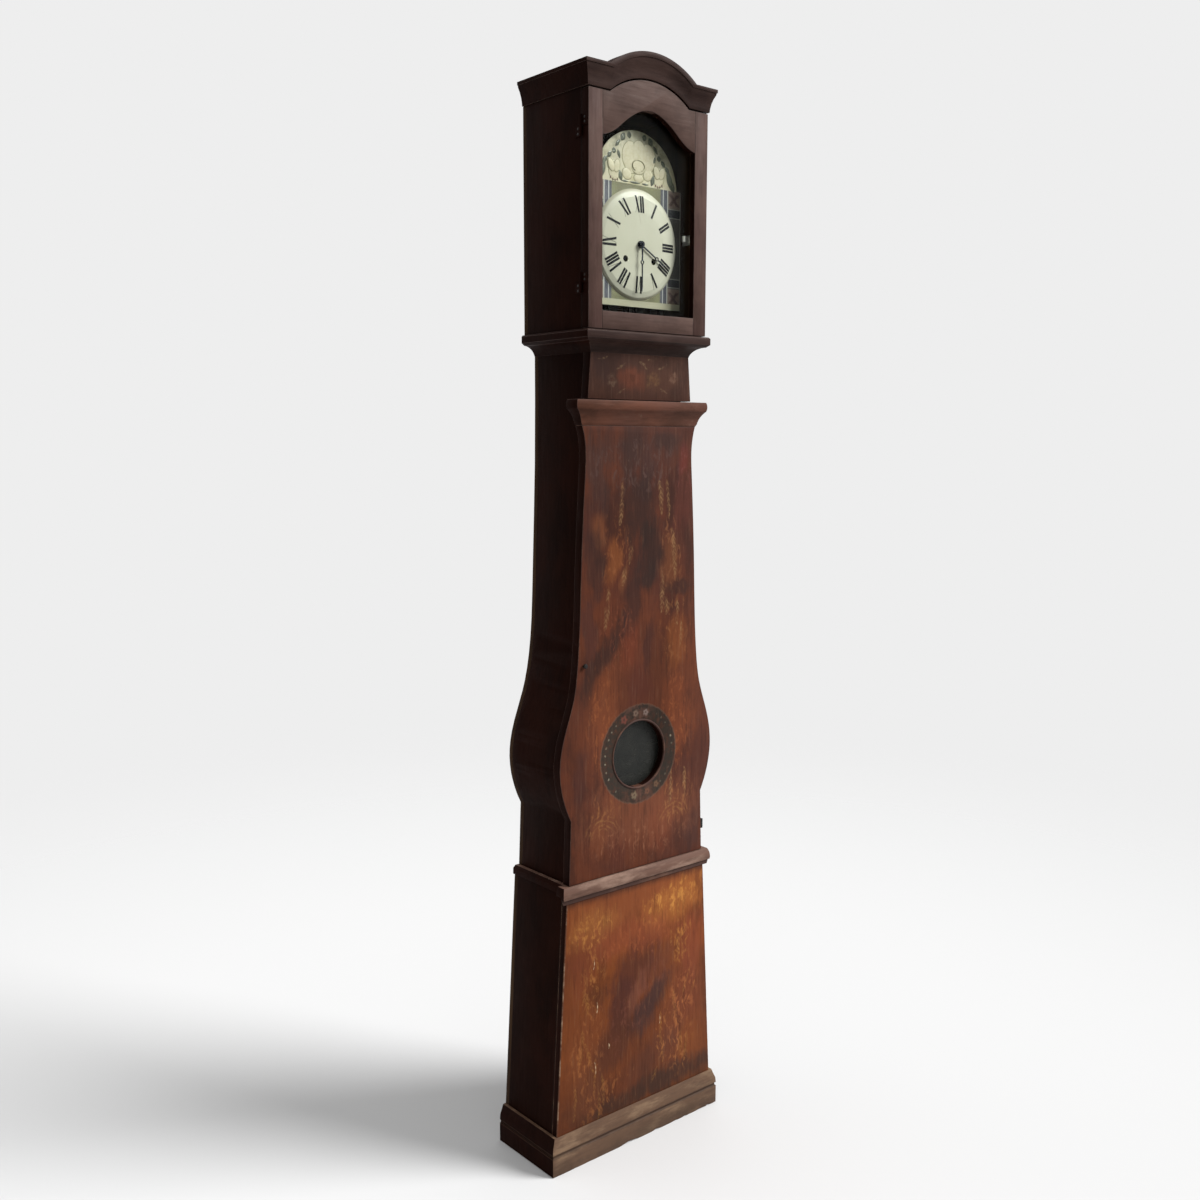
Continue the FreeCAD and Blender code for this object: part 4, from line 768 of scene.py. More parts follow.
@dataclass(frozen=True)
class NeckPainting(GrainedPaint):
    """Dark graining of the neck panel with a faint row of flowers."""

    clouds: tuple[Cloud, ...] = Cloud.rows(
        (-26, 1700, 0, 46, 32, "6b3c2c", 0.6), (60, 1700, 0, 60, 30, "573a2e", 0.5),
        (-110, 1720, 90, 40, 24, "3c2a26", 0.6))
    strokes: tuple[Stroke, ...] = Stroke.rows(
        (-56, 1722, 30, 15, 3), (8, 1728, 150, 15, 3), (62, 1724, 24, 14, 3), (-106, 1736, 10, 14, 3),
        (30, 1738, 5, 14, 3), (64, 1674, -28, 13, 3), (-56, 1672, 208, 13, 3))
    stroke_tone: str = "80674e"
    flowers: tuple[tuple[float, float, float, str], ...] = (
        (-80, 1694, 16, "6f5848"), (-24, 1700, 26, "6c3f30"), (35, 1696, 23, "6f5038"), (93, 1704, 15, "755848"))

    def ornament(self, g: Graph, at: Socket, colour: Socket) -> Socket:
        """Paint the neck's ornament over its ground.

        Args:
            g: The material's graph.
            at: The point on the panel.
            colour: The ground's colour.

        Returns:
            The colour with its ornament.
        """
        colour = super().ornament(g, at, colour)
        unsteady = g.wander(at, 80.0, 0.012)
        faded = g.times(g.span(g.noise(at, 55.0, 4.0, 0.68), 0.38, 0.62), 0.7)
        for x, z, radius, tone in self.flowers:
            flower = g.group(blossom(), unsteady, X=x * MM, Z=z * MM, Radius=radius * MM)
            colour = g.cover(colour, g.times(flower["Petal"], faded), tone)
            colour = g.cover(colour, flower["Heart"], "4a2c22", 0.4)
        return colour


@dataclass(frozen=True)
class WornMoulding(Finish):
    """Moulding whose paint has worn to dull, dirty wood; groove_shade_height is where a dark line of painted shade
    stands for the shade inside a groove.
    """

    paint_left: str = "5f463a"
    bare: str = "94796a"
    amount: float = 0.5
    soil: float = 0.0
    groove_shade_height: float = 0.0
    groove_shade_half: float = 4.0
    specular: float = 0.12

    def surface(self, g: Graph, at: Socket) -> Surface:
        """Give the worn moulding.

        Args:
            g: The material's graph.
            at: The point on the piece.

        Returns:
            The surface.
        """
        level = g.scaled(at, (0.12, 1.0, 1.0))
        streak = g.group(brush_grain(), level, Across=150.0, Along=150.0, Cloud=5.0)["Streak"]
        body = g.noise(g.scaled(at, (0.3, 1.0, 1.0)), 24.0, 6.0, 0.66)
        worn = g.span(body, 0.72 - self.amount * 0.5, 0.92 - self.amount * 0.5)
        colour = g.mix(worn, self.paint_left, self.bare)
        colour = g.cover(colour, g.span(streak, 0.46, 0.72), "3b2d26", 0.35)
        colour = g.cover(colour, g.rubbed(at, 130.0, 0.25), "a08c7c", 0.35)
        if self.soil > 0:
            colour = g.cover(colour, g.soiled(at, self.soil), "2e231c", 0.6)
        # Painted shade: a dark line at the groove's height, standing in for the shade inside the groove.
        if self.groove_shade_height > 0:
            height = g.parts(g.wander(at, 60.0, 0.005))[2]
            low, high = (self.groove_shade_height - self.groove_shade_half) * MM, (self.groove_shade_height + self.groove_shade_half) * MM
            line = g.inside(height, low, high, 0.003)
            colour = g.cover(colour, line, "2a1d16", 0.75)
        return Surface(colour, g.plus(0.6, g.times(worn, 0.2)), streak, 0.0005)


@dataclass(frozen=True)
class BareWood(Finish):
    """Unpainted softwood inside the case, darkened by age and partly as painted shade for the shade inside the case,
    with grain and plank seams.
    """

    # Dark tones: aged wood, made darker still as painted shade for the case's shaded inside.
    light: str = "4a3626"
    dark: str = "2e2017"
    seams: tuple[float, ...] = ()
    level_grain: bool = False
    specular: float = 0.1

    def surface(self, g: Graph, at: Socket) -> Surface:
        """Give the bare wood.

        Args:
            g: The material's graph.
            at: The point on the piece.

        Returns:
            The surface.
        """
        lie = g.laid(at, self.level_grain)
        grain = g.group(brush_grain(), lie, Across=70.0, Along=2.5, Cloud=3.0)
        bands = g.calc("FRACT", g.times(g.noise(g.scaled(lie, (6.0, 6.0, 0.5)), 1.4, 2.0), 9.0))
        colour = g.mix(g.span(grain["Streak"], 0.35, 0.68), self.light, self.dark)
        colour = g.cover(colour, g.span(bands, 0.55, 1.0), self.dark, 0.35)
        colour = g.cover(colour, g.span(grain["Patch"], 0.55, 0.75), "231911", 0.4)
        for seam in self.seams:
            gap = g.size(g.minus(g.parts(at)[0], seam * MM))
            colour = g.cover(colour, g.span(gap, 0.0018, 0.0008), "120c09")
        return Surface(colour, 0.78, grain["Streak"], 0.0004)


@dataclass(frozen=True)
class ClearGlass(Finish):
    """Old window glass with a faint wave."""

    tint: str = "eef2ee"
    bending: float = 1.12

    def surface(self, g: Graph, at: Socket) -> Surface:
        """Give the glass with its faint wave."""
        return Surface(self.tint, 0.03, g.noise(g.scaled(at, (1.0, 1.0, 0.4)), 16.0, 1.0), 0.0004)

    def finish_shader(self, g: Graph, shader: bpy.types.Node) -> None:
        """Make the pane clear, and clear to shadow rays.

        Args:
            g: The material's graph.
            shader: The material's shader node.
        """
        shader.inputs["Transmission Weight"].default_value = 1.0
        shader.inputs["IOR"].default_value = self.bending
        path = g.add("LightPath", {}).outputs
        g.clear(g.largest(path[name] for name in ("Is Shadow Ray", "Is Diffuse Ray")), shader.outputs[0])


@dataclass(frozen=True)
class DustyShadedGlass(Finish):
    """Lenticle pane under years of dust, near-black and nearly opaque: partly dust, partly painted shade for the dark
    inside of the trunk seen through it.
    """

    specular: float = 0.25
    # Nearly opaque, so the dark pane stands for the shaded inside of the trunk: painted shade.
    cover: float = 0.9

    def surface(self, g: Graph, at: Socket) -> Surface:
        """Give the dusty pane.

        Args:
            g: The material's graph.
            at: The point on the piece.

        Returns:
            The surface.
        """
        dust = g.noise(at, 38.0, 6.0, 0.7)
        smear = g.noise(g.scaled(at, (6.0, 1.0, 60.0)), 1.0, 4.0)
        # Near-black tones: dust, and painted shade for the dark trunk behind the pane.
        colour = g.mix(g.span(dust, 0.4, 0.7), "161714", "20201c")
        colour = g.cover(colour, g.span(smear, 0.5, 0.75), "2b2b26", 0.4)
        return Surface(colour, g.plus(0.3, g.times(dust, 0.4)))

    def finish_shader(self, g: Graph, shader: bpy.types.Node) -> None:
        """Let a little light through the pane."""
        shader.inputs["Alpha"].default_value = self.cover


@dataclass(frozen=True)
class Enamel(Finish):
    """Fired white enamel with hairlines, a faint ring and a rim that darkens towards its edge."""

    centre_z: float = 1972.5
    radius: float = 112.5
    ring: float = 105.5
    ring_wide: float = 0.6
    rim_darkening: float = 7.0
    crackle: float = 34.0

    def surface(self, g: Graph, at: Socket) -> Surface:
        """Give the enamel.

        Args:
            g: The material's graph.
            at: The point on the piece.

        Returns:
            The surface.
        """
        x, _, z = g.parts(at)
        reach = g.length(x, g.minus(z, self.centre_z * MM))
        flat = g.scaled(at, (1.0, 0.0, 1.0))
        cells = g.add("TexVoronoi", {"Vector": flat, "Scale": self.crackle}, feature="DISTANCE_TO_EDGE").outputs
        hair = g.times(g.span(cells["Distance"], 0.012, 0.0), g.span(g.noise(at, 12.0), 0.5, 0.7))
        colour = g.mix(g.span(g.noise(at, 8.0, 4.0), 0.35, 0.75), "d9d8c6", "cecdb8")
        # Darker towards the rim's edge.
        colour = g.cover(colour, g.span(reach, (self.radius - self.rim_darkening) * MM, self.radius * MM), "8f8468", 0.5)
        ring = g.inside(reach, self.ring * MM, (self.ring + self.ring_wide) * MM, 0.0004)
        colour = g.cover(colour, ring, "6f6a58", 0.25)
        return Surface(g.cover(colour, hair, "8f8468", 0.25), 0.3)


@dataclass(frozen=True)
class PlatePainting(Finish):
    """Painted dial plate: cream fronton, olive fields, slate columns and panelled side strips."""

    shoulder: float = 2093.0
    foot: float = 1847.0
    skirt: float = 13.0
    column: Pair = (68.0, 87.0)
    panel_x: float = 106.5
    panel_half: float = 14.0
    panels: Pair = (2074.5, 1872.0)
    bands: tuple[Pair, Pair] = ((2038.5, 2054.5), (1895.0, 1911.0))
    lines: tuple[float, ...] = (2036.5, 2054.8, 1893.5, 1911.0)
    middle_y: float = -56.4
    edge: float = 0.0005

    def surface(self, g: Graph, at: Socket) -> Surface:
        """Give the painted plate.

        Args:
            g: The material's graph.
            at: The point on the piece.

        Returns:
            The surface.
        """
        x, _, z = g.folded(at)
        left, right = (part * MM for part in self.column)
        shoulder, skirt, edge = self.shoulder * MM, (self.foot + self.skirt) * MM, self.edge
        colour = g.mix(g.span(g.noise(at, 26.0, 4.0), 0.35, 0.7), "5f5e3b", "7b7a52")
        colour = g.cover(colour, g.inside(x, left, right, edge), "30333f")
        line = g.largest(g.inside(x, start, start + 0.0024, edge) for start in (left + 0.0065, right))
        colour = g.cover(colour, line, "b9bab4")
        colour = g.cover(colour, g.span(x, right + 0.0025, right + 0.0035), self.side_strip(g, x, z))
        cream = g.mix(g.span(g.noise(at, 14.0, 5.0), 0.35, 0.7), "cbc5a8", "b5ad86")
        flare = g.plus(g.times(x, 0.62), g.minus(z, shoulder))
        leafy = g.times(g.span(flare, 0.060, 0.120), g.span(g.noise(at, 30.0, 5.0, 0.65), 0.35, 0.62))
        cream = g.cover(cream, leafy, "6a6a50", 0.75)
        colour = g.cover(colour, g.span(z, shoulder - edge, shoulder + edge), cream)
        colour = g.cover(colour, g.span(z, skirt + edge, skirt - edge), "aeab90")
        colour = g.cover(colour, g.rubbed(at, 60.0, 0.27), "7d7050", 0.5)
        bare = g.span(g.parts(at)[1], (self.middle_y - 0.2) * MM, (self.middle_y + 0.2) * MM)
        return Surface(g.cover(colour, bare, "3d382c"), 0.5, g.noise(at, 150.0, 3.0), 0.0002)

    def side_strip(self, g: Graph, x: Socket, z: Socket) -> Socket:
        """Paint the panels beside the columns.

        Args:
            g: The material's graph.
            x: Distance from the plate's middle line.
            z: Height.

        Returns:
            The strip's colour.
        """
        half = self.panel_half * MM
        band = g.largest(g.inside(z, low * MM, high * MM, 0.0006) for low, high in self.bands)
        colour = g.mix(band, "43423d", "191a20")
        dx = g.size(g.minus(x, self.panel_x * MM))
        for middle in self.panels:
            dz = g.size(g.minus(z, middle * MM))
            colour = g.cover(colour, g.span(dz, 0.0205, 0.0190), "76645a")
            cross = g.size(g.minus(dx, dz))
            colour = g.cover(colour, g.times(g.span(cross, 0.0064, 0.0030), g.span(dz, half, half - 0.004)), "43302a")
        lines = g.largest(g.inside(z, low * MM, low * MM + 0.0018, 0.0005) for low in self.lines)
        colour = g.cover(colour, lines, "8f8e86")
        return g.cover(colour, g.span(x, 0.1238, 0.1250), "96948a")


@dataclass(frozen=True)
class AgedMetal(Finish):
    """Metal with tarnish in clouds and a fine brushed grain."""

    metallic: float = 1.0
    clean: str = "a98646"
    tarnish: str = "7d6132"
    dull: float = 0.5
    smooth: float = 0.28
    coarse: float = 40.0

    def surface(self, g: Graph, at: Socket) -> Surface:
        """Give the metal.

        Args:
            g: The material's graph.
            at: The point on the piece.

        Returns:
            The surface.
        """
        cloud, fine = g.noise(at, self.coarse, 6.0, 0.68), g.noise(at, self.coarse * 14, 3.0)
        mask = g.span(cloud, 0.62 - self.dull * 0.5, 0.92 - self.dull * 0.3)
        colour = self.tone(g, at, g.mix(mask, self.clean, self.tarnish))
        return Surface(colour, g.plus(self.smooth, g.times(mask, 0.3)), fine, 0.00012)

    def tone(self, g: Graph, at: Socket, colour: Socket) -> Socket:
        """Change the metal's colour over the piece; plain metal keeps it."""
        return colour


@dataclass(frozen=True)
class BarrelMetal(AgedMetal):
    """Brass of a barrel, with its winding square of dark steel at the front."""

    square_y: float = -36.0
    steel: str = "1f2024"

    def tone(self, g: Graph, at: Socket, colour: Socket) -> Socket:
        """Darken the square."""
        return g.cover(colour, g.span(g.parts(at)[1], self.square_y * MM + 0.001, self.square_y * MM), self.steel)


@dataclass(frozen=True)
class FlatPaint(Finish):
    """Thin hand-laid paint with a slightly uneven body."""

    tone: str = "16161a"
    second: str = "24242a"
    gloss: float = 0.5

    def surface(self, g: Graph, at: Socket) -> Surface:
        """Give the paint with its uneven body."""
        cloud = g.noise(at, 120.0, 4.0, 0.65)
        return Surface(g.mix(g.span(cloud, 0.35, 0.7), self.tone, self.second), self.gloss, cloud, 0.0001)


@dataclass(frozen=True)
class TwistedCord(Finish):
    """Laid cord with a slanting twist."""

    specular: float = 0.2

    def surface(self, g: Graph, at: Socket) -> Surface:
        """Give the cord.

        Args:
            g: The material's graph.
            at: The point on the piece.

        Returns:
            The surface.
        """
        x, _, z = g.parts(at)
        twist = g.calc("SINE", g.plus(g.times(z, 1500.0), g.times(x, 2200.0)))
        return Surface(g.mix(g.span(twist, -0.4, 0.8), "4d4230", "94835f"), 0.85, twist, 0.0003)


class Finishes:
    """The clock's finishes by use."""

    DOOR = DoorPainting("door_graining", ground="4c2b22", shade="2c1d19", warm="5f3322", rub="735442", fibre=0.42)
    PANEL = PanelPainting("panel_graining", ground="5c301b", shade="331d15", warm="6e3a1c", rub="80593a", fibre=0.42,
                          soil=0.24)
    NECK = NeckPainting("neck_graining", ground="48312a", shade="2c1f1b", warm="50352b")
    HOOD = GrainedPaint("hood_paint", ground="503b36", shade="33261f", warm="5a453e", rub="70605a", mottle=0.4,
                        cloud=8.0)
    RAIL = GrainedPaint("rail_paint", ground="523f39", shade="352822", warm="5c4841", rub="726058", mottle=0.4,
                        cloud=8.0, level_grain=True)
    # Darker paint of the cornice and the hood base moulding: partly their own paint, partly painted shade for the shade
    # on their downward-facing coves.
    CORNICE_AND_SHADE = GrainedPaint("cornice_paint_and_shade", ground="352622", shade="1e1513", warm="402f2a", rub="5c4b45", mottle=0.4,
                           cloud=8.0, level_grain=True)
    SHELF = GrainedPaint("shelf_paint", ground="614035", shade="3a261d", warm="694233", rub="785f52", level_grain=True,
                         rubbed=0.32)
    # Painted shade: near-black paint for the sides and every side-facing face, far darker than the front's paint,
    # standing in for the shade on faces turned away from the light.
    SHADED_SIDE = GrainedPaint("shaded_side_paint", ground="1e0d08", shade="110705", warm="26110b", rub="301c15", rubbed=0.2,
                        specular=0.02)
    EDGE = WornMoulding("worn_edge", paint_left="45302a", bare="64493d", amount=0.5)
    PANEL_EDGE = WornMoulding("worn_panel_edge", paint_left="5a3626", bare="9c8069", amount=0.5)
    HOOD_EDGE = WornMoulding("worn_hood_edge", paint_left="43342f", bare="665650", amount=0.5)
    # Painted shade: the worn edges of the sides, kept as dark as the side paint.
    SHADED_SIDE_EDGE = WornMoulding("worn_shaded_side_edge", paint_left="1f1411", bare="37281f", amount=0.42)
    WAIST = WornMoulding("waist_moulding_wear", paint_left="644a3f", bare="8a7062", amount=0.55)
    # The plinth's dark line at 46 mm is painted shade in its groove.
    PLINTH = WornMoulding("plinth_wear", paint_left="5b4536", bare="77604c", amount=0.47, soil=0.05, groove_shade_height=46.0)
    WOOD = BareWood("bare_softwood")
    SHELF_WOOD = BareWood("level_softwood", level_grain=True)
    PLANKS = BareWood("plank_softwood", seams=(-84.0, 77.0))
    GLASS = ClearGlass("old_window_glass")
    LENTICLE = DustyShadedGlass("dusty_shaded_pane")
    ENAMEL = Enamel("dial_enamel", specular=0.1)
    PLATE = PlatePainting("painted_dial_plate")
    BRASS = AgedMetal("aged_brass")
    BARREL = BarrelMetal("barrel_brass")
    BELL = AgedMetal("bell_bronze", clean="8f7340", tarnish="57432a", smooth=0.34)
    IRON = AgedMetal("blackened_iron", clean="242221", tarnish="33271f", smooth=0.5, dull=0.45, metallic=0.7)
    WEIGHT = AgedMetal("cast_weight_iron", clean="23211f", tarnish="3d2b22", smooth=0.62, dull=0.6, metallic=0.6)
    STEEL = AgedMetal("blued_steel", clean="2c2e36", tarnish="1c1c20", smooth=0.32, dull=0.35)
    # The clip's near-white colour is partly a painted highlight, paler than its bare metal, so that it shows as a
    # bright spot.
    CLIP = AgedMetal("bright_clip", clean="fbf9f2", tarnish="e2ded2", smooth=0.34, dull=0.2, metallic=0.5)
    CORD = TwistedCord("weight_cord")
    INK = FlatPaint("numeral_paint", tone="0f0f12", second="1c1c20", gloss=0.6, specular=0.1)
    PETAL = FlatPaint("cream_petal_paint", tone="d3ccae", second="c6bd9b")
    OUTLINE = FlatPaint("shaded_petal_paint", tone="97936f", second="7f7c5b")
    LEAF = FlatPaint("green_leaf_paint", tone="454a34", second="2f3426")
    DASH = FlatPaint("red_dash_paint", tone="5a2d26", second="47261f")


def placed(name: str, data: bpy.types.ID) -> bpy.types.Object:
    """Add an object to the scene by its name and its data.

    Args:
        name: The object's name.
        data: Its mesh, light or camera.

    Returns:
        The object.
    """
    made = bpy.data.objects.new(name, data)
    bpy.context.scene.collection.objects.link(made)
    return made


def new_piece(name: str, bm: BMesh, finishes: Sequence[Finish], body: Body, sharp: float = 35.0) -> bpy.types.Object:
    """Make a finished piece of a bmesh and let it ride on a body.

    Args:
        name: The piece's name.
        bm: Its mesh, which is freed.
        finishes: Its finishes, by material index.
        body: The body that it rides on.
        sharp: Angle in degrees above which an edge stays sharp.

    Returns:
        The piece.
    """
    for face in bm.faces:
        face.smooth = True
    for edge in bm.edges:
        edge.smooth = len(edge.link_faces) == 2 and edge.calc_face_angle(0.0) < math.radians(sharp)
    mesh = bpy.data.meshes.new(name)
    bm.to_mesh(mesh)
    bm.free()
    if "custom_normal" in mesh.attributes:
        mesh.attributes.remove(mesh.attributes["custom_normal"])
    for finish in finishes:
        mesh.materials.append(finish.material())
    piece = placed(name, mesh)
    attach(piece, body.value)
    log.info("piece %s: %d faces", name, len(mesh.polygons))
    return piece


def cut(bm: BMesh, at: Triple, across: Triple) -> None:
    """Cut a mesh's faces along a plane, given by a point and its normal."""
    bmesh.ops.bisect_plane(bm, geom=[*bm.verts, *bm.edges, *bm.faces], plane_co=at, plane_no=across)


def eased(bm: BMesh, edges: list, width: float, clamp: bool) -> list:
    """Round edges of a mesh.

    Args:
        bm: The mesh.
        edges: The edges.
        width: Width of the rounding in millimetres.
        clamp: True to narrow it where two would meet.

    Returns:
        The new faces.
    """
    return bmesh.ops.bevel(bm, geom=edges, offset=width * MM, offset_type="OFFSET", affect="EDGES", segments=2,
                           profile=0.5, material=-1, clamp_overlap=clamp)["faces"]


class Zone(Enum):
    """Parts of a board that wear or are finished differently; the flank's near-black paint is painted shade. The value
    is the material's index.
    """

    FACE = 0
    EDGE = 1
    FLANK = 2
    INSIDE = 3


@dataclass
class Board:
    """One wooden node of the case, copied with eased and worn edges; sizes in millimetres and degrees."""

    node: str
    body: Body
    face: Finish
    edge: Finish
    # Side-facing faces take the near-black side paint: painted shade.
    flank: Finish = Finishes.SHADED_SIDE
    inside: Finish = Finishes.WOOD
    slot: str = "painted_wood"
    ease: float = 1.0
    upright: bool = False
    fillet: Pair = (0.0, 0.0)
    ragged: float = 0.0
    ragged_step: float = 7.0
    weld: float = 0.02
    flat: float = 0.4
    corner: float = 40.0

    def zone(self, face: bmesh.types.BMFace) -> Zone:
        """Tell which part of the board a face belongs to.

        Args:
            face: A face that is no eased edge.

        Returns:
            The face's zone.
        """
        turn = face.normal
        if self.upright:
            inwards = turn.x * face.calc_center_median().x < 0 and abs(turn.x) > 0.5
            return Zone.INSIDE if inwards else Zone.FACE
        if turn.y > 0.5:
            return Zone.INSIDE
        # Faces turned sideways are flanks, which take the near-black side paint: painted shade.
        return Zone.FLANK if abs(turn.y) < 0.3 and abs(turn.x) > 0.2 else Zone.FACE

    def set_back(self, bm: BMesh, low: Vector) -> None:
        """Set the foot of a moulding back, as a fillet under its bead.

        Args:
            bm: The moulding's mesh.
            low: The low corner of its box.
        """
        rise, depth = (part * MM for part in self.fillet)
        if rise == 0:
            return
        for level in (rise - 0.5 * MM, rise + 0.5 * MM):
            cut(bm, (0.0, 0.0, low.z + level), (0.0, 0.0, 1.0))
        for vert in bm.verts:
            if vert.co.z < low.z + rise:
                vert.co.y = max(vert.co.y, low.y + depth)
        bm.normal_update()

    def wear_foot(self, bm: BMesh, low: Vector, high: Vector) -> None:
        """Wear the foot of a board to a ragged line, more so to the right.

        Args:
            bm: The board's mesh.
            low: The low corner of its box.
            high: The high corner.
        """
        if self.ragged == 0:
            return
        step, wide = self.ragged_step * MM, high.x - low.x
        for turn in range(1, int(wide / step)):
            cut(bm, (low.x + turn * step, 0.0, 0.0), (1.0, 0.0, 0.0))
        for vert in bm.verts:
            if vert.co.z < low.z + 0.1 * MM:
                rough = noise.noise(vert.co * 22.0) + 0.6 * noise.noise(vert.co * 75.0)
                right = 0.5 + 0.5 * (vert.co.x - low.x) / wide
                vert.co.z += self.ragged * MM * right * max(0.0, rough)
        bm.normal_update()

    def build(self, nodes: Nodes) -> None:
        """Copy the node, ease its edges and stand in for it.

        Args:
            nodes: The clock's nodes by name.
        """
        low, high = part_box(self.node)
        bm = bmesh.new()
        bm.from_mesh(nodes[self.node].data)
        bmesh.ops.remove_doubles(bm, verts=bm.verts, dist=self.weld * MM)
        bmesh.ops.dissolve_limit(bm, angle_limit=math.radians(self.flat), verts=bm.verts, edges=bm.edges)
        self.set_back(bm, low)
        self.wear_foot(bm, low, high)
        sharp = math.radians(self.corner)
        corners = [e for e in bm.edges if len(e.link_faces) == 2 and e.calc_face_angle(0.0) > sharp]
        worn = eased(bm, corners, self.ease, True)
        for vert in bm.verts:
            vert.co = [min(max(part, least), most) for part, least, most in zip(vert.co, low, high)]
        bm.normal_update()
        for face in bm.faces:
            face.material_index = self.zone(face).value
        # The set-back fillet under the waist bead takes the darker edge paint: partly its own brown, partly painted
        # shade in the recess.
        sunk = [face for face in bm.faces if face.calc_center_median().z < low.z + self.fillet[0] * MM]
        for face in [*worn, *sunk]:
            face.material_index = Zone.EDGE.value
        piece = new_piece(self.node + "_dressed", bm, (self.face, self.edge, self.flank, self.inside), self.body)
        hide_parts(self.node)


@dataclass
class Case:
    """Boards and mouldings of the case, trunk door and hood door."""

    moulding_ease: float = 0.5
    waist_fillet: Pair = (11.0, 6.0)
    foot_wear: float = 9.0
    panel_ease: float = 2.2

    def boards(self) -> list[Board]:
        """List the boards with their finishes.

        Returns:
            The boards.
        """
        f, case, trunk, hood = Finishes, Body.CASE, Body.TRUNK_DOOR, Body.HOOD_DOOR
        sides = ("trunk_left_side", "trunk_right_side", "base_sides", "hood_sides")
        # The hood base moulding takes the cornice's darker paint, partly painted shade in its cove.
        mouldings = (("hood_base_mouldings", case, f.CORNICE_AND_SHADE, f.HOOD_EDGE),
                     ("cornice_mouldings", case, f.CORNICE_AND_SHADE, f.HOOD_EDGE),
                     ("door_shelf_moulding", trunk, f.SHELF, f.EDGE))
        panels = (("neck_panel", case, f.NECK, f.EDGE), ("trunk_door_board", trunk, f.DOOR, f.EDGE),
                  ("hood_door_stiles", hood, f.HOOD, f.HOOD_EDGE),
                  ("hood_door_top_rail", hood, f.RAIL, f.HOOD_EDGE),
                  ("hood_door_bottom_rail", hood, f.RAIL, f.HOOD_EDGE))
        bare = ("base_floor_board", "hood_roof", "seat_board")
        # The side boards take the near-black side paint all over: painted shade.
        return [*(Board(node, case, f.SHADED_SIDE, f.SHADED_SIDE_EDGE, upright=True) for node in sides),
                *(Board(*row, ease=self.moulding_ease) for row in mouldings), *(Board(*row) for row in panels),
                Board("waist_mouldings", case, f.WAIST, f.EDGE, ease=self.moulding_ease, fillet=self.waist_fillet),
                Board("plinth_boards", case, f.PLINTH, f.PLINTH, ease=self.moulding_ease, ragged=self.foot_wear),
                Board("base_front_panel", case, f.PANEL, f.PANEL_EDGE, ease=self.panel_ease),
                Board("back_board", case, f.PLANKS, f.WOOD, f.WOOD, f.PLANKS, "bare_wood"),
                *(Board(node, case, *[f.SHELF_WOOD] * 4, "bare_wood") for node in bare)]

    def build(self, nodes: Nodes) -> None:
        """Dress every board.

        Args:
            nodes: The clock's nodes by name.
        """
        for board in self.boards():
            board.build(nodes)


class Movement:
    """Finishes of the nodes that keep their own shapes: glass, dial, hands, wheels, fittings."""

    def build(self, nodes: Nodes) -> None:
        """Give each node its finish on the object's own slots.

        Args:
            nodes: The clock's nodes by name.
        """
        f = Finishes
        uses = {
            f.GLASS: ("hood_door_glass",),
            f.LENTICLE: ("lenticle_glass",),
            f.ENAMEL: ("dial_disc",),
            f.PLATE: ("dial_plate",),
            f.CLIP: ("hood_catch_clip",),
            f.BELL: ("bell",),
            f.WEIGHT: ("going_weight", "strike_weight"),
            f.BARREL: ("going_barrel", "strike_barrel"),
            f.BRASS: ("pendulum_bob", "going_great_wheel", "strike_great_wheel", "centre_wheel", "third_wheel",
                      "escape_wheel", "cannon_wheel", "reverse_wheel", "hour_wheel", "strike_wheel"),
            # The hood hinges take the near-black side paint: painted shade, as on the sides.
            f.SHADED_SIDE: ("hood_hinge_plates", "hood_door_hinge_leaves"),
            f.IRON: ("door_pull", "door_hinge_straps", "door_pintles", "frame_plates", "frame_uprights",
                     "suspension_cock", "pendulum_rod", "hammer", "bell_post"),
            f.STEEL: ("centre_arbor", "third_arbor", "escape_arbor", "strike_arbor", "fly", "anchor_and_crutch",
                      "hour_hand", "minute_hand"),
        }
        for finish, names in uses.items():
            for name in names:
                for slot in nodes[name].material_slots:
                    slot.link = "OBJECT"
                    slot.material = finish.material()
        log.info("finished %d plain nodes", sum(len(names) for names in uses.values()))


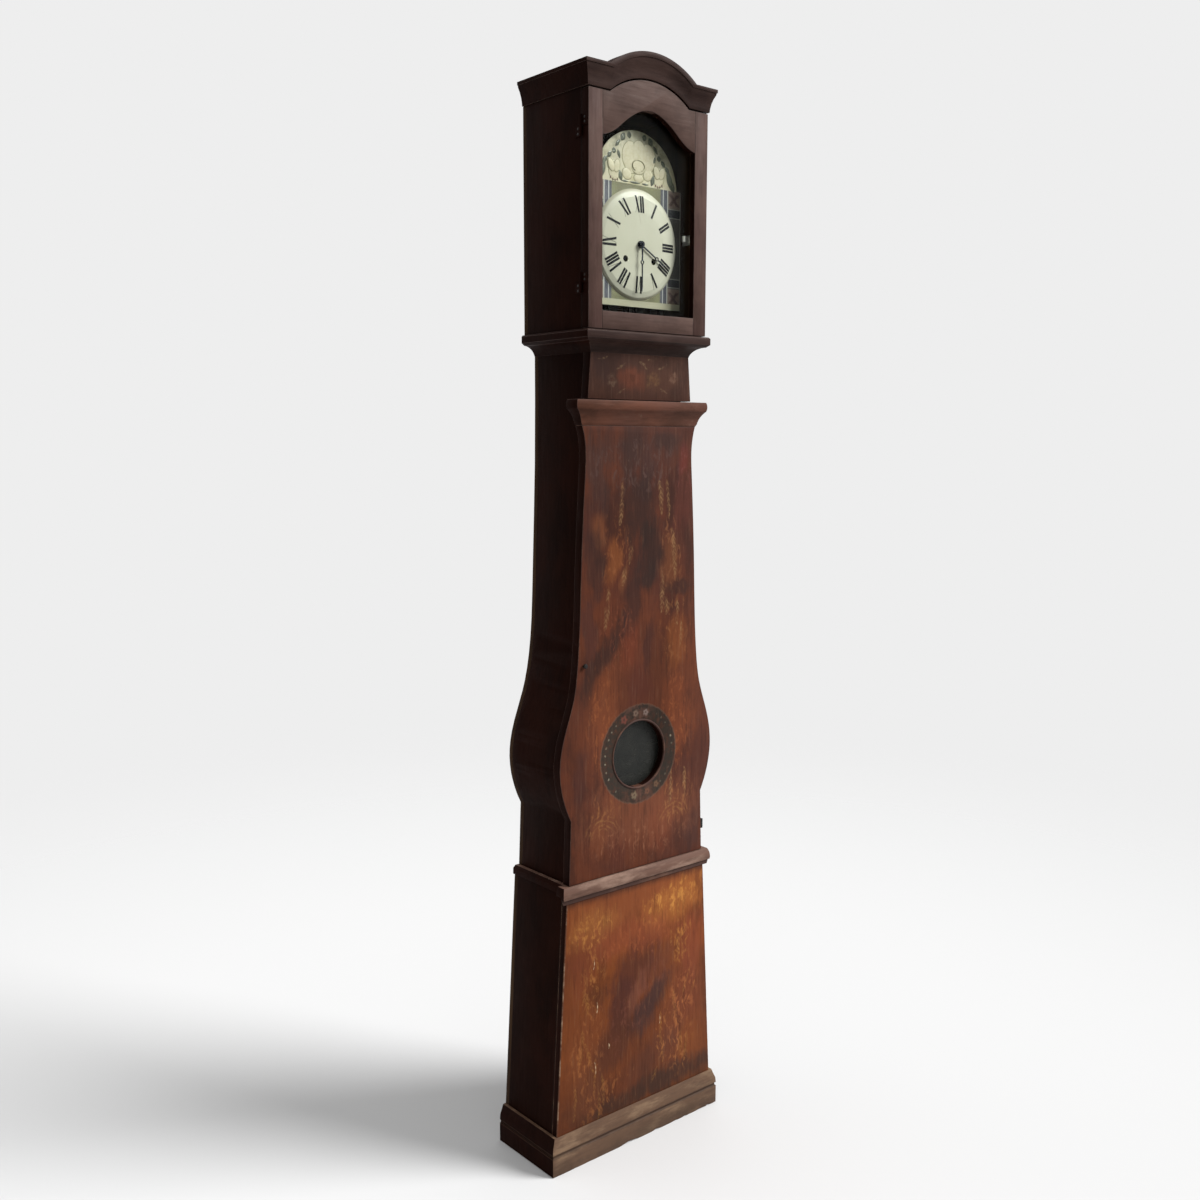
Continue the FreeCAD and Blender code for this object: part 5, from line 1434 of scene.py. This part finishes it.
@dataclass
class Dial:
    """Numerals painted on the domed enamel, in millimetres."""

    inner: float = 64.0
    outer: float = 98.0
    thick: float = 4.8
    thin: float = 0.7
    gap: float = 1.3
    letter: float = 12.0
    body_height: float = 0.7
    cuts: int = 7
    profile: tuple[Pair, ...] = ((0.0, 0.0), (0.6, 0.10), (0.85, 0.33), (0.95, 0.62), (1.0, 1.0))
    numerals: tuple[str, ...] = ("XII", "I", "II", "III", "IIII", "V", "VI", "VII", "VIII", "IX", "X", "XI")

    def dome(self, share: float) -> float:
        """Give how far the enamel falls back from its crown, as a share of its depth.

        Args:
            share: Distance from the middle, as a share of the radius.

        Returns:
            The share of the depth.
        """
        for (r0, d0), (r1, d1) in zip(self.profile, self.profile[1:]):
            if share <= r1:
                return d0 + (d1 - d0) * (share - r0) / (r1 - r0)
        return 1.0

    def bar(self, bm: BMesh, frame: Matrix, start: Pair, end: Pair, width: float) -> None:
        """Add one brushed bar between two points of a numeral.

        Args:
            bm: The numerals' mesh.
            frame: Turns the numeral to its hour.
            start: First end, across and outwards.
            end: Second end.
            width: The bar's width across.
        """
        (u0, w0), (u1, w1) = start, end
        lean = Matrix.Identity(4)
        lean[0][2] = (u1 - u0) / (w1 - w0)
        place = Matrix.Translation(((u0 + u1) / 2, 0.0, (w0 + w1) / 2))
        size = Matrix.Diagonal((width, self.body_height, w1 - w0, 1.0))
        stand = Matrix.Rotation(math.pi / 2, 4, "X")
        back = bmesh.ops.create_grid(bm, x_segments=1, y_segments=self.cuts, size=0.5)["verts"]
        raised = bmesh.ops.extrude_face_region(bm, geom=list({f for vert in back for f in vert.link_faces}))["geom"]
        front = [part for part in raised if isinstance(part, bmesh.types.BMVert)]
        bmesh.ops.translate(bm, verts=back, vec=(0.0, 0.0, -0.5))
        bmesh.ops.translate(bm, verts=front, vec=(0.0, 0.0, 0.5))
        bmesh.ops.transform(bm, matrix=frame @ place @ lean @ size @ stand, verts=back + front)

    def glyph(self, bm: BMesh, frame: Matrix, letter: str, at: float) -> None:
        """Add one letter of a numeral.

        Args:
            bm: The numerals' mesh.
            frame: Turns the numeral to its hour.
            letter: I, V or X.
            at: The letter's middle, across.
        """
        low, high, half = self.inner, self.outer, self.letter / 2
        broad, fine = half - self.thick / 2, half - self.thin / 2
        if letter == "I":
            self.bar(bm, frame, (at, low), (at, high), self.thick)
        elif letter == "V":
            self.bar(bm, frame, (at, low), (at - broad, high), self.thick)
            self.bar(bm, frame, (at, low), (at + fine, high), self.thin)
        else:
            self.bar(bm, frame, (at + broad, low), (at - broad, high), self.thick)
            self.bar(bm, frame, (at - fine, low), (at + fine, high), self.thin)

    def numeral(self, bm: BMesh, hour: int) -> None:
        """Add one hour's numeral, its top outwards.

        Args:
            bm: The numerals' mesh.
            hour: The hour, with 0 for twelve.
        """
        text = self.numerals[hour]
        frame = Matrix.Rotation(math.tau * hour / 12, 4, "Y")
        widths = [self.thick if letter == "I" else self.letter for letter in text]
        at = -(sum(widths) + self.gap * (len(text) - 1)) / 2
        for letter, width in zip(text, widths):
            self.glyph(bm, frame, letter, at + width / 2)
            at += width + self.gap

    def build(self) -> None:
        """Paint the numerals, laid on the dome."""
        low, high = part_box("dial_disc")
        radius, depth = (high.x - low.x) / 2, high.y - low.y
        centre = Vector(((low.x + high.x) / 2, low.y, (low.z + high.z) / 2))
        bm = bmesh.new()
        for hour in range(12):
            self.numeral(bm, hour)
        for vert in bm.verts:
            flat = vert.co * MM
            fall = self.dome(math.hypot(flat.x, flat.z) / radius) * depth
            vert.co = centre + flat + Vector((0.0, fall, 0.0))
        bmesh.ops.recalc_face_normals(bm, faces=bm.faces)
        new_piece("dial_numerals", bm, (Finishes.INK,), Body.CASE)


@dataclass(frozen=True)
class Lobe:
    """One swelling petal or leaf on the fronton, in millimetres and degrees; z counts from the plate's shoulder."""

    x: float
    z: float
    wide: float
    long: float
    turn: float = 0.0
    lift: float = 0.0

    def other(self) -> Lobe:
        """Give the same lobe on the plate's other half."""
        return Lobe(-self.x, self.z, self.wide, self.long, -self.turn, self.lift)

    def add(self, bm: BMesh, thick: float, grow: float = 0.0, point: float = 0.12) -> None:
        """Add the lobe to a mesh.

        Args:
            bm: The relief's mesh.
            thick: Half of its thickness.
            grow: How much larger it is made all round.
            point: How sharply it narrows to its ends.
        """
        made = bmesh.ops.create_uvsphere(bm, u_segments=20, v_segments=12, radius=1.0)["verts"]
        for vert in made:
            narrow = (self.wide + grow) * (1.0 - point * vert.co.z * vert.co.z)
            vert.co = Vector((vert.co.x * narrow, vert.co.y * thick, vert.co.z * (self.long + grow)))
        place = Matrix.Translation((self.x, -self.lift, self.z)) @ Matrix.Rotation(math.radians(self.turn), 4, "Y")
        bmesh.ops.transform(bm, matrix=place, verts=made)


@dataclass
class Fronton:
    """Low relief over the dial: a rose between two bell flowers and leaves, in millimetres."""

    shoulder: float = 2093.0
    rose: tuple[Lobe, ...] = (
        Lobe(-27, 19, 13, 11, 25), Lobe(5, 14, 13, 9), Lobe(31, 23, 13, 11, -30), Lobe(-15, 53, 25, 32, -8),
        Lobe(27, 54, 25, 31, 12), Lobe(5, 58, 22, 31, 2, 0.3), Lobe(4, 37, 20, 16, 0, 0.5))
    curl: tuple[float, float, float, float] = (4.0, 38.0, 11.0, 0.8)
    curl_spread: float = 1.5
    curl_lift: float = 1.3
    curl_sweep: float = 300.0
    bell: tuple[Lobe, ...] = (Lobe(62, 22, 15, 20, 8), Lobe(55, 31, 8, 13, -14, 0.8), Lobe(70, 31, 8, 13, 26, 0.8))
    dashes: tuple[Lobe, ...] = (
        Lobe(53, 5, 1.6, 4, 25), Lobe(59, 3, 1.6, 4, 8), Lobe(65, 4, 1.6, 4, -8), Lobe(71, 7, 1.6, 4, -25))
    leaves: tuple[Lobe, ...] = (
        Lobe(45, 14, 6, 12, 20), Lobe(93, 20, 8, 21, -18), Lobe(103, 7, 5, 11, -10), Lobe(86, 40, 5, 9, -38),
        Lobe(74, 51, 5, 8, -40), Lobe(62, 60, 6, 6), Lobe(52, 76, 4, 10, -40), Lobe(38, 90, 9, 7, 60),
        Lobe(21, 96, 6, 7, 10), Lobe(49, 55, 4, 9, 20))
    stems: tuple[Lobe, ...] = (Lobe(-5, 4, 15, 2.4), Lobe(24, 4, 10, 2.2), Lobe(-32, 4, 10, 2.2))

    def build(self) -> None:
        """Lay the relief on the plate's fronton."""
        low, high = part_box("dial_plate")
        front = Vector(((low.x + high.x) / 2, low.y, self.shoulder * MM))
        halves = (self.bell, self.dashes, self.leaves)
        bells, dashes, leaves = ([*half, *(lobe.other() for lobe in half)] for half in halves)
        flowers = [*self.rose, *bells]
        sets = (("fronton_flowers", flowers, Finishes.PETAL, 0.9, 0.0, 0.05),
                ("fronton_outlines", flowers, Finishes.OUTLINE, 0.55, 1.1, 0.05),
                ("fronton_dashes", dashes, Finishes.DASH, 0.8, 0.0, 0.5),
                ("fronton_leaves", [*leaves, *self.stems], Finishes.LEAF, 0.8, 0.0, 0.5))
        for name, lobes, finish, thick, grow, point in sets:
            bm = bmesh.new()
            for lobe in lobes:
                lobe.add(bm, thick, grow, point)
            self.lay(name, bm, finish, front)
        self.lay("fronton_curl", self.ring(), Finishes.OUTLINE, front)

    def ring(self) -> BMesh:
        """Give the curled petal's rim in the middle of the rose, open below.

        Returns:
            The rim's mesh, in millimetres.
        """
        x, z, reach, thick = self.curl
        sweep, bm = math.radians(self.curl_sweep), bmesh.new()
        place = Matrix.Translation((x, -self.curl_lift, z + reach)) @ Matrix.Rotation(math.pi / 2, 4, "Y")
        made = bmesh.ops.create_circle(bm, cap_ends=True, segments=10, radius=thick, matrix=place)["verts"]
        bmesh.ops.rotate(bm, verts=made, cent=(x, 0.0, z), matrix=Matrix.Rotation(-sweep / 2, 3, "Y"))
        bmesh.ops.spin(bm, geom=list(bm.faces), cent=(x, 0.0, z), axis=(0.0, 1.0, 0.0), angle=sweep, steps=40)
        bmesh.ops.scale(bm, vec=(self.curl_spread, 1.0, 1.0), space=Matrix.Translation((-x, 0.0, -z)), verts=bm.verts)
        bmesh.ops.recalc_face_normals(bm, faces=bm.faces)
        return bm

    def lay(self, name: str, bm: BMesh, finish: Finish, front: Vector) -> None:
        """Lay one part of the relief on the plate.

        Args:
            name: The piece's name.
            bm: Its mesh in millimetres, which is freed.
            finish: Its finish.
            front: The point of the plate that the sizes count from.
        """
        bmesh.ops.scale(bm, vec=(MM, MM, MM), verts=bm.verts)
        bmesh.ops.translate(bm, vec=front, verts=bm.verts)
        new_piece(name, bm, (finish,), Body.CASE, 60.0)


@dataclass
class LenticleBead:
    """Round bead on the door's face, just outside the lenticle's hole, in millimetres."""

    section: tuple[Pair, ...] = ((73.4, 0.6), (73.4, -0.8), (74.2, -1.7), (75.4, -2.0), (76.6, -1.7), (77.4, -0.8),
                                 (77.4, 0.6))
    steps: int = 120

    def build(self) -> None:
        """Turn the bead and lay it on the door."""
        low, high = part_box("lenticle_glass")
        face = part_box("trunk_door_board")[0].y
        centre = Vector(((low.x + high.x) / 2, face, (low.z + high.z) / 2))
        bm = bmesh.new()
        verts = [bm.verts.new(centre + Vector((reach, out, 0.0)) * MM) for reach, out in self.section]
        edges = [bm.edges.new(pair) for pair in zip(verts, verts[1:] + verts[:1])]
        bmesh.ops.spin(bm, geom=verts + edges, cent=centre, axis=(0.0, 1.0, 0.0), angle=math.tau, steps=self.steps,
                       use_merge=True)
        bmesh.ops.recalc_face_normals(bm, faces=bm.faces)
        new_piece("lenticle_bead", bm, (Finishes.EDGE,), Body.TRUNK_DOOR)


@dataclass
class Fittings:
    """Nails, screws and nuts that hold the ironwork, in millimetres."""

    nail: Pair = (4.2, 1.3)
    screw: Pair = (2.6, 0.6)
    nut: Pair = (7.5, 5.0)
    strap_half: float = 11.0
    strap_nails: tuple[float, ...] = (13.0, 53.0, 91.0)
    leaf: float = 1.5
    leaf_middle: float = 9.0
    leaf_feet: Pair = (1861.0, 2161.0)
    fixed_screws: Pair = (5.0, 15.0)
    moving_screws: Pair = (26.0, 35.0)
    pillar_half: float = 5.0
    nut_ease: float = 0.6

    def head(self, bm: BMesh, at: Sequence[float], outwards: Vector, size: Pair) -> None:
        """Add one domed head.

        Args:
            bm: The heads' mesh.
            at: The middle of its seat.
            outwards: The direction that it faces.
            size: Its radius and its height, in millimetres.
        """
        turn = outwards.to_track_quat("Z", "Y").to_matrix().to_4x4()
        shape = Matrix.Diagonal((size[0] * MM, size[0] * MM, size[1] * MM, 1.0))
        place = Matrix.Translation(at) @ turn @ shape
        bmesh.ops.create_uvsphere(bm, u_segments=16, v_segments=8, radius=1.0, matrix=place)

    def strap_heads(self) -> BMesh:
        """Give the nails through the trunk door's straps, on the door's back.

        Returns:
            The nails.
        """
        bm = bmesh.new()
        low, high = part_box("door_hinge_straps")
        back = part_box("trunk_door_board")[1].y
        for z in (low.z + self.strap_half * MM, high.z - self.strap_half * MM):
            for along in self.strap_nails:
                self.head(bm, (low.x + along * MM, back, z), Vector((0.0, 1.0, 0.0)), self.nail)
        return bm

    def leaf_heads(self, wall: str, front: float, ups: Pair) -> BMesh:
        """Give the screws of the hood hinges' fixed or moving leaves.

        Args:
            wall: The node that the leaves are screwed to.
            front: The leaves' front edge.
            ups: The screws' heights over each hinge's foot.

        Returns:
            The screws.
        """
        bm = bmesh.new()
        x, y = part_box(wall)[0].x - self.leaf * MM, front + self.leaf_middle * MM
        for foot in self.leaf_feet:
            for up in ups:
                self.head(bm, (x, y, (foot + up) * MM), Vector((-1.0, 0.0, 0.0)), self.screw)
        return bm

    def pillar_nuts(self) -> BMesh:
        """Give the nuts on the cage's four pillars.

        Returns:
            The nuts.
        """
        bm = bmesh.new()
        low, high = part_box("frame_uprights")
        top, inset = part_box("frame_plates")[1].z, self.pillar_half * MM
        reach, high_nut = (part * MM for part in self.nut)
        for x in (low.x + inset, high.x - inset):
            for y in (low.y + inset, high.y - inset):
                place = Matrix.Translation((x, y, top + high_nut / 2))
                made = bmesh.ops.create_cone(bm, cap_ends=True, segments=6, radius1=reach, radius2=reach,
                                             depth=high_nut, matrix=place)["verts"]
                rims = list({e for v in made for e in v.link_edges if abs(e.verts[0].co.z - e.verts[1].co.z) < 1e-6})
                eased(bm, rims, self.nut_ease, False)
        return bm

    def build(self) -> None:
        """Fix every fitting to its body."""
        fixed = self.leaf_heads("hood_sides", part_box("hood_sides")[0].y, self.fixed_screws)
        moving = self.leaf_heads("hood_door_stiles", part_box("hood_door_hinge_leaves")[0].y, self.moving_screws)
        sets = (("strap_nails", self.strap_heads(), Body.TRUNK_DOOR), ("pillar_nuts", self.pillar_nuts(), Body.CASE),
                ("hood_hinge_screws", fixed, Body.CASE), ("hood_leaf_screws", moving, Body.HOOD_DOOR))
        for name, bm, body in sets:
            new_piece(name, bm, (Finishes.IRON,), body)


@dataclass
class WeightLine:
    """Cord from a barrel down to its weight."""

    node: str
    joint: str
    travel: float = 1.1

    def route(self, stops: Sequence[Vector]) -> bpy.types.Curve:
        """Give the cord's route.

        Args:
            stops: Its end on the drum, its place in the seat board's hole, and its end at the weight.

        Returns:
            The curve.
        """
        curve = bpy.data.curves.new(self.node + "_route", "CURVE")
        curve.dimensions = "3D"
        spline = curve.splines.new("NURBS")
        spline.points.add(len(stops) - 1)
        for stop, point in zip(stops, spline.points):
            point.co = (*stop, 1.0)
        spline.order_u = 3
        spline.use_endpoint_u = True
        spline.resolution_u = 24
        return curve

    def build(self) -> None:
        low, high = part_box(self.node)
        x, y, radius = (low.x + high.x) / 2, (low.y + high.y) / 2, (high.x - low.x) / 2
        top, foot = Vector((x, y, high.z)), Vector((x, y, low.z))
        seat = Vector((x, y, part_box("seat_board")[0].z))
        curve = self.route((top, seat, foot))
        holder = bpy.data.objects.new(self.node + "_holder", curve)
        path = [v.co.copy() for v in bpy.data.meshes.new_from_object(holder).vertices]
        curve.bevel_depth = radius
        curve.use_fill_caps = True
        mesh = bpy.data.meshes.new_from_object(holder)
        bpy.data.objects.remove(holder)
        bpy.data.curves.remove(curve)
        bm = bmesh.new()
        bm.from_mesh(mesh)
        piece = new_piece(self.node + "_cord", bm, (Finishes.CORD,), Body.CASE)
        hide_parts(self.node)
        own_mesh(piece)


@dataclass
class Stage:
    """Pale floor, soft lamps and the camera."""

    floor_reach: float = 7.0
    floor_tone: str = "d3d3d3"
    fade: Pair = (0.7, 4.2)
    sun_from: Triple = (0.550, -0.570, 0.610)
    sun_strength: float = 4.35
    sun_width: float = 27.0
    surround: str = "eeeeee"
    ambient: float = 0.13
    rear_power: float = 1000.0
    rear_at: Triple = (-0.2, 0.2, 12.0)
    rear_size: float = 12.0
    camera_at: Triple = (-1.76995, -2.02637, 1.5593)
    camera_right: Triple = (0.7701, -0.6380, 0.0)
    camera_up: Triple = (0.08565, 0.10338, 0.9910)
    sensor: float = 36.0
    lens: float = 37.083
    shift: Pair = (0.0127, 0.0113)

    def floor(self) -> None:
        """Lay a floor that keeps the shadow and fades into the background."""
        bm = bmesh.new()
        bmesh.ops.create_circle(bm, cap_ends=True, segments=64, radius=self.floor_reach)
        mesh = bpy.data.meshes.new("floor")
        bm.to_mesh(mesh)
        bm.free()
        material = bpy.data.materials.new("pale_floor")
        material.use_nodes = True
        g = Graph(material.node_tree)
        x, y, _ = g.parts(g.place())
        g.clear(g.span(g.length(x, y), *self.fade), g.add("BsdfDiffuse", {"Color": self.floor_tone}).outputs[0])
        mesh.materials.append(material)
        placed("floor", mesh)

    def lamp(self, name: str, kind: str, way: Vector, **settings: float) -> bpy.types.Object:
        """Hang one lamp.

        Args:
            name: The lamp's name.
            kind: Blender's type of it.
            way: The direction that it shines in.
            **settings: The light's own properties.

        Returns:
            The lamp.
        """
        light = bpy.data.lights.new(name, kind)
        for key, value in settings.items():
            setattr(light, key, value)
        lamp = placed(name, light)
        lamp.rotation_euler = way.to_track_quat("-Z", "Y").to_euler()
        return lamp

    def lamps(self) -> None:
        """Light the front from the right with one broad, soft sun, and the floor from above."""
        self.lamp("key", "SUN", -Vector(self.sun_from), energy=self.sun_strength, angle=math.radians(self.sun_width))
        rear = self.lamp("rear", "AREA", Vector((0.0, 0.0, -1.0)), energy=self.rear_power, size=self.rear_size)
        rear.location = self.rear_at

    def world(self) -> None:
        """Set a dim surround that looks pale to the camera, and in metal and glass."""
        world = bpy.data.worlds.new("studio")
        bpy.context.scene.world = world
        world.use_nodes = True
        g = Graph(world.node_tree)
        path = g.add("LightPath", {}).outputs
        seen = g.largest(path[name] for name in ("Is Camera Ray", "Is Glossy Ray", "Is Transmission Ray"))
        back = world.node_tree.nodes["Background"]
        g.feed(back.inputs["Color"], self.surround)
        g.feed(back.inputs["Strength"], g.plus(self.ambient, g.times(seen, 1 - self.ambient)))

    def camera(self) -> None:
        """Set the camera at the photograph's viewpoint."""
        data = bpy.data.cameras.new("viewpoint")
        data.sensor_width, data.lens = self.sensor, self.lens
        data.shift_x, data.shift_y = self.shift
        camera = placed("viewpoint", data)
        right, up = Vector(self.camera_right), Vector(self.camera_up)
        turn = Matrix((right, up, right.cross(up))).transposed()
        camera.matrix_world = Matrix.Translation(self.camera_at) @ turn.to_4x4()
        bpy.context.scene.camera = camera

    def build(self) -> None:
        """Set the whole stage."""
        bpy.context.scene.view_settings.view_transform = "Standard"
        self.floor()
        self.world()
        self.lamps()
        self.camera()


def main() -> None:
    """Build the stage and dress the clock."""
    logging.basicConfig(level=logging.INFO, format="%(name)s: %(message)s")
    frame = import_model()
    nodes = frame["nodes"]
    Stage().build()
    Case().build(nodes)
    Movement().build(nodes)
    Dial().build()
    Fronton().build()
    LenticleBead().build()
    Fittings().build()
    WeightLine("going_line", "going_weight_wind").build()
    WeightLine("strike_line", "strike_weight_wind").build()


if __name__ == "__main__":
    main()
